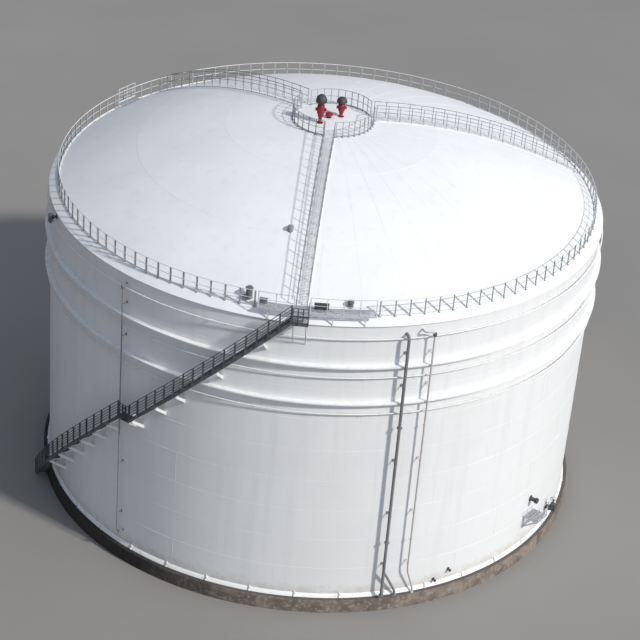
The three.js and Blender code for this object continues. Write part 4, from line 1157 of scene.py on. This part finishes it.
gauge = [riser_pipe([(WELDED, GAUGE_TAP, TAP_LEVEL), (0.2, GAUGE_TAP, TAP_LEVEL),
                     (GAUGE_OFF, GAUGE, TAP_LEVEL), (GAUGE_OFF, GAUGE, RISER_HEAD),
                     (WELDED, GAUGE, RISER_HEAD)], 0.12, GAUGE_PIPE, 12),
         collar([(0.09, -0.16), (0.11, -0.1), (0.11, 0.06), (0.06, 0.1)], GAUGE_OFF, GAUGE,
                RISER_HEAD - 0.1),
         collar([(0.08, -0.1), (0.08, 0.12)], 0.3, GAUGE_COCK, TAP_LEVEL),
         *clamps(GAUGE, GAUGE_OFF, GAUGE_PIPE, 0.03)]
set_piece("level_pipe", gauge, riser_grey, "riser_grey")

# Manway and nozzles low on the shell
# The manway's bolted cover hangs from a davit arm. The nozzles have reinforcing plates and blind
# flanges, and the outlet's gate valve has a spoked handwheel. Places are azimuths and heights.
MANWAY = (75, 0.9)
UPPER_NOZZLE = (-34.1, 3.45)
OUTLET = (-25, 1.15)
SMALL_NOZZLES = (("drain_nozzle", (-57.5, 0.95)), ("steam_nozzle", (-60.9, 0.45)))
DAVIT = [(0.0, 0.47, 0.35), (0.3, 0.47, 0.35), (0.3, 0.47, 0.72), (0.45, 0.0, 0.72), (0.45, 0.0, 0.40)]
HANDLE = [(0.46, -0.1, 0.0), (0.54, -0.1, 0.0), (0.54, 0.1, 0.0), (0.46, 0.1, 0.0)]
COVER = [(0.40, 0.44), (0.40, 0.47), (0.20, 0.476), (0.02, 0.479)]
BLIND_FLANGE = [(0.14, 0.445), (0.14, 0.48), (0.20, 0.485), (0.20, 0.55)]
GATE_BODY = [(0.165, 0.37), (0.185, 0.44), (0.20, 0.52), (0.185, 0.60), (0.165, 0.67), (0.23, 0.682),
             (0.23, 0.74)]
GATE_BONNET = [(0.13, 0.0), (0.12, 0.30), (0.17, 0.36), (0.17, 0.42), (0.07, 0.44), (0.05, 0.62),
               (0.045, 0.70)]
WHEEL, WHEEL_RISE = 0.225, 0.775
fitting_dark = dark_paint("valve_casting", (0.075, 0.078, 0.085))


def fitting(azimuth, level, profile, sides=32):
    """A round fitting square to the shell, from points of [radius, distance off the shell]."""
    return turned(profile, polar(SHELL - 0.004, azimuth, FOOT + level), polar(1.0, azimuth), sides)


def neck(pad, plate, pipe, reach, flange, face):
    """The profile of a reinforcing plate, a neck and its flange, up to the flange's face."""
    return [(pad, 0.0), (pad, plate), (pipe, plate), (pipe, reach), (flange, reach), (flange, face)]


def place_by(azimuth, level, off, across=0.0, up=0.0):
    """A point near a fitting: its distance off the shell, sideways and upwards."""
    return polar(SHELL + off, azimuth, FOOT + level + up) + polar(across, azimuth + 90)


def flange_bolts(azimuth, level, off, circle, count, size):
    return bolts(place_by(azimuth, level, off), polar(1.0, azimuth), circle, count, size, 0.5)


manway = [fitting(*MANWAY, neck(0.52, 0.02, 0.31, 0.39, 0.40, 0.435), 40), fitting(*MANWAY, COVER, 40),
          tube(elbowed([place_by(*MANWAY, *at) for at in DAVIT], 0.08), 0.028, 10),
          tube(elbowed([place_by(*MANWAY, *at) for at in HANDLE], 0.03), 0.012, 8),
          *flange_bolts(*MANWAY, 0.47, 0.36, 24, 0.016)]
set_piece("shell_manway", manway, riser_grey, "dark_steel")
upper = [fitting(*UPPER_NOZZLE, neck(0.22, 0.018, 0.14, 0.40, 0.20, 0.44) + BLIND_FLANGE),
         *flange_bolts(*UPPER_NOZZLE, 0.55, 0.17, 12, 0.014)]
set_piece("upper_nozzle", upper, fitting_dark, "dark_steel")

spindle = place_by(*OUTLET, 0.52)
outlet = [fitting(*OUTLET, neck(0.30, 0.018, 0.16, 0.30, 0.23, 0.358) + GATE_BODY),
          turned(GATE_BONNET, spindle), turned([(0.03, 0.44), (0.03, 0.80)], spindle, sides=12),
          tube([spindle + polar(WHEEL, a, WHEEL_RISE) for a in all_round(28)], 0.015, 8, True),
          *bolts(spindle + UP * 0.42, UP, 0.145, 8, 0.014),
          *flange_bolts(*OUTLET, 0.74, 0.195, 12, 0.013)]
outlet += [rolled(spindle + polar(0.02, a, WHEEL_RISE), spindle + polar(0.22, a, WHEEL_RISE),
                  flat_bar(0.022, 0.012)) for a in all_round(5)]
set_piece("outlet_valve", outlet, fitting_dark, "dark_steel")
for name, place in SMALL_NOZZLES:
    nozzle = [fitting(*place, neck(0.12, 0.014, 0.06, 0.20, 0.105, 0.242), 24),
              *flange_bolts(*place, 0.24, 0.085, 8, 0.009)]
    set_piece(name, nozzle, fitting_dark, "dark_steel")

# Access platform
# A small square of grating stands on two brackets under the upper nozzle. A deep frame of flat
# steel holds it, with a railing on its outer side.
ACCESS_FROM, ACCESS_TO = -36.1, -32.5
ACCESS_LEVEL = FOOT + 2.35
ACCESS_INNER, ACCESS_OUTER = SHELL + 0.06, SHELL + 1.15
ACCESS_FRAME, ACCESS_CHORD = 0.12, 0.06
ACCESS_UNDER = ACCESS_LEVEL - ACCESS_FRAME
access = grating(ACCESS_INNER, ACCESS_OUTER, ACCESS_FROM, ACCESS_TO, ACCESS_LEVEL, 0.12, 4)
access += arc_railing(ACCESS_OUTER - 0.025, ACCESS_FROM, ACCESS_TO, 2, ACCESS_LEVEL)
for inner in (ACCESS_INNER, ACCESS_OUTER - ACCESS_CHORD):
    access.append(curved_bar(inner, inner + ACCESS_CHORD, ACCESS_UNDER, ACCESS_LEVEL - 0.04, ACCESS_FROM,
                             ACCESS_TO, 4))
for azimuth in (ACCESS_FROM, ACCESS_TO):
    access.append(radial_bar(ACCESS_INNER, ACCESS_OUTER, azimuth, ACCESS_LEVEL - ACCESS_FRAME / 2,
                             flat_bar(0.03, ACCESS_FRAME)))
for azimuth in (ACCESS_FROM + 0.5, ACCESS_TO - 0.5):
    access += bracket(azimuth, ACCESS_UNDER, ACCESS_OUTER - 0.1, 0.9, 0.09)
set_piece("access_platform", access, zinc, "galvanised")

# Foam chamber
# A cast chamber high on the shell lets foam in over the oil. It stands upright on a flanged neck
# that is welded to the plates with a reinforcing plate.
CHAMBER = (-159, 19.78)
CHAMBER_PROFILE = [(0.06, -0.42), (0.075, -0.38), (0.15, -0.30), (0.15, 0.20), (0.11, 0.25),
                   (0.02, 0.26)]
chamber = [fitting(*CHAMBER, neck(0.20, 0.016, 0.09, 0.20, 0.15, 0.25) + [(0.09, 0.25), (0.09, 0.42)]),
           turned(CHAMBER_PROFILE, place_by(*CHAMBER, 0.42), sides=24),
           *flange_bolts(*CHAMBER, 0.25, 0.12, 8, 0.011)]
set_piece("foam_chamber", chamber, fitting_dark, "dark_steel")
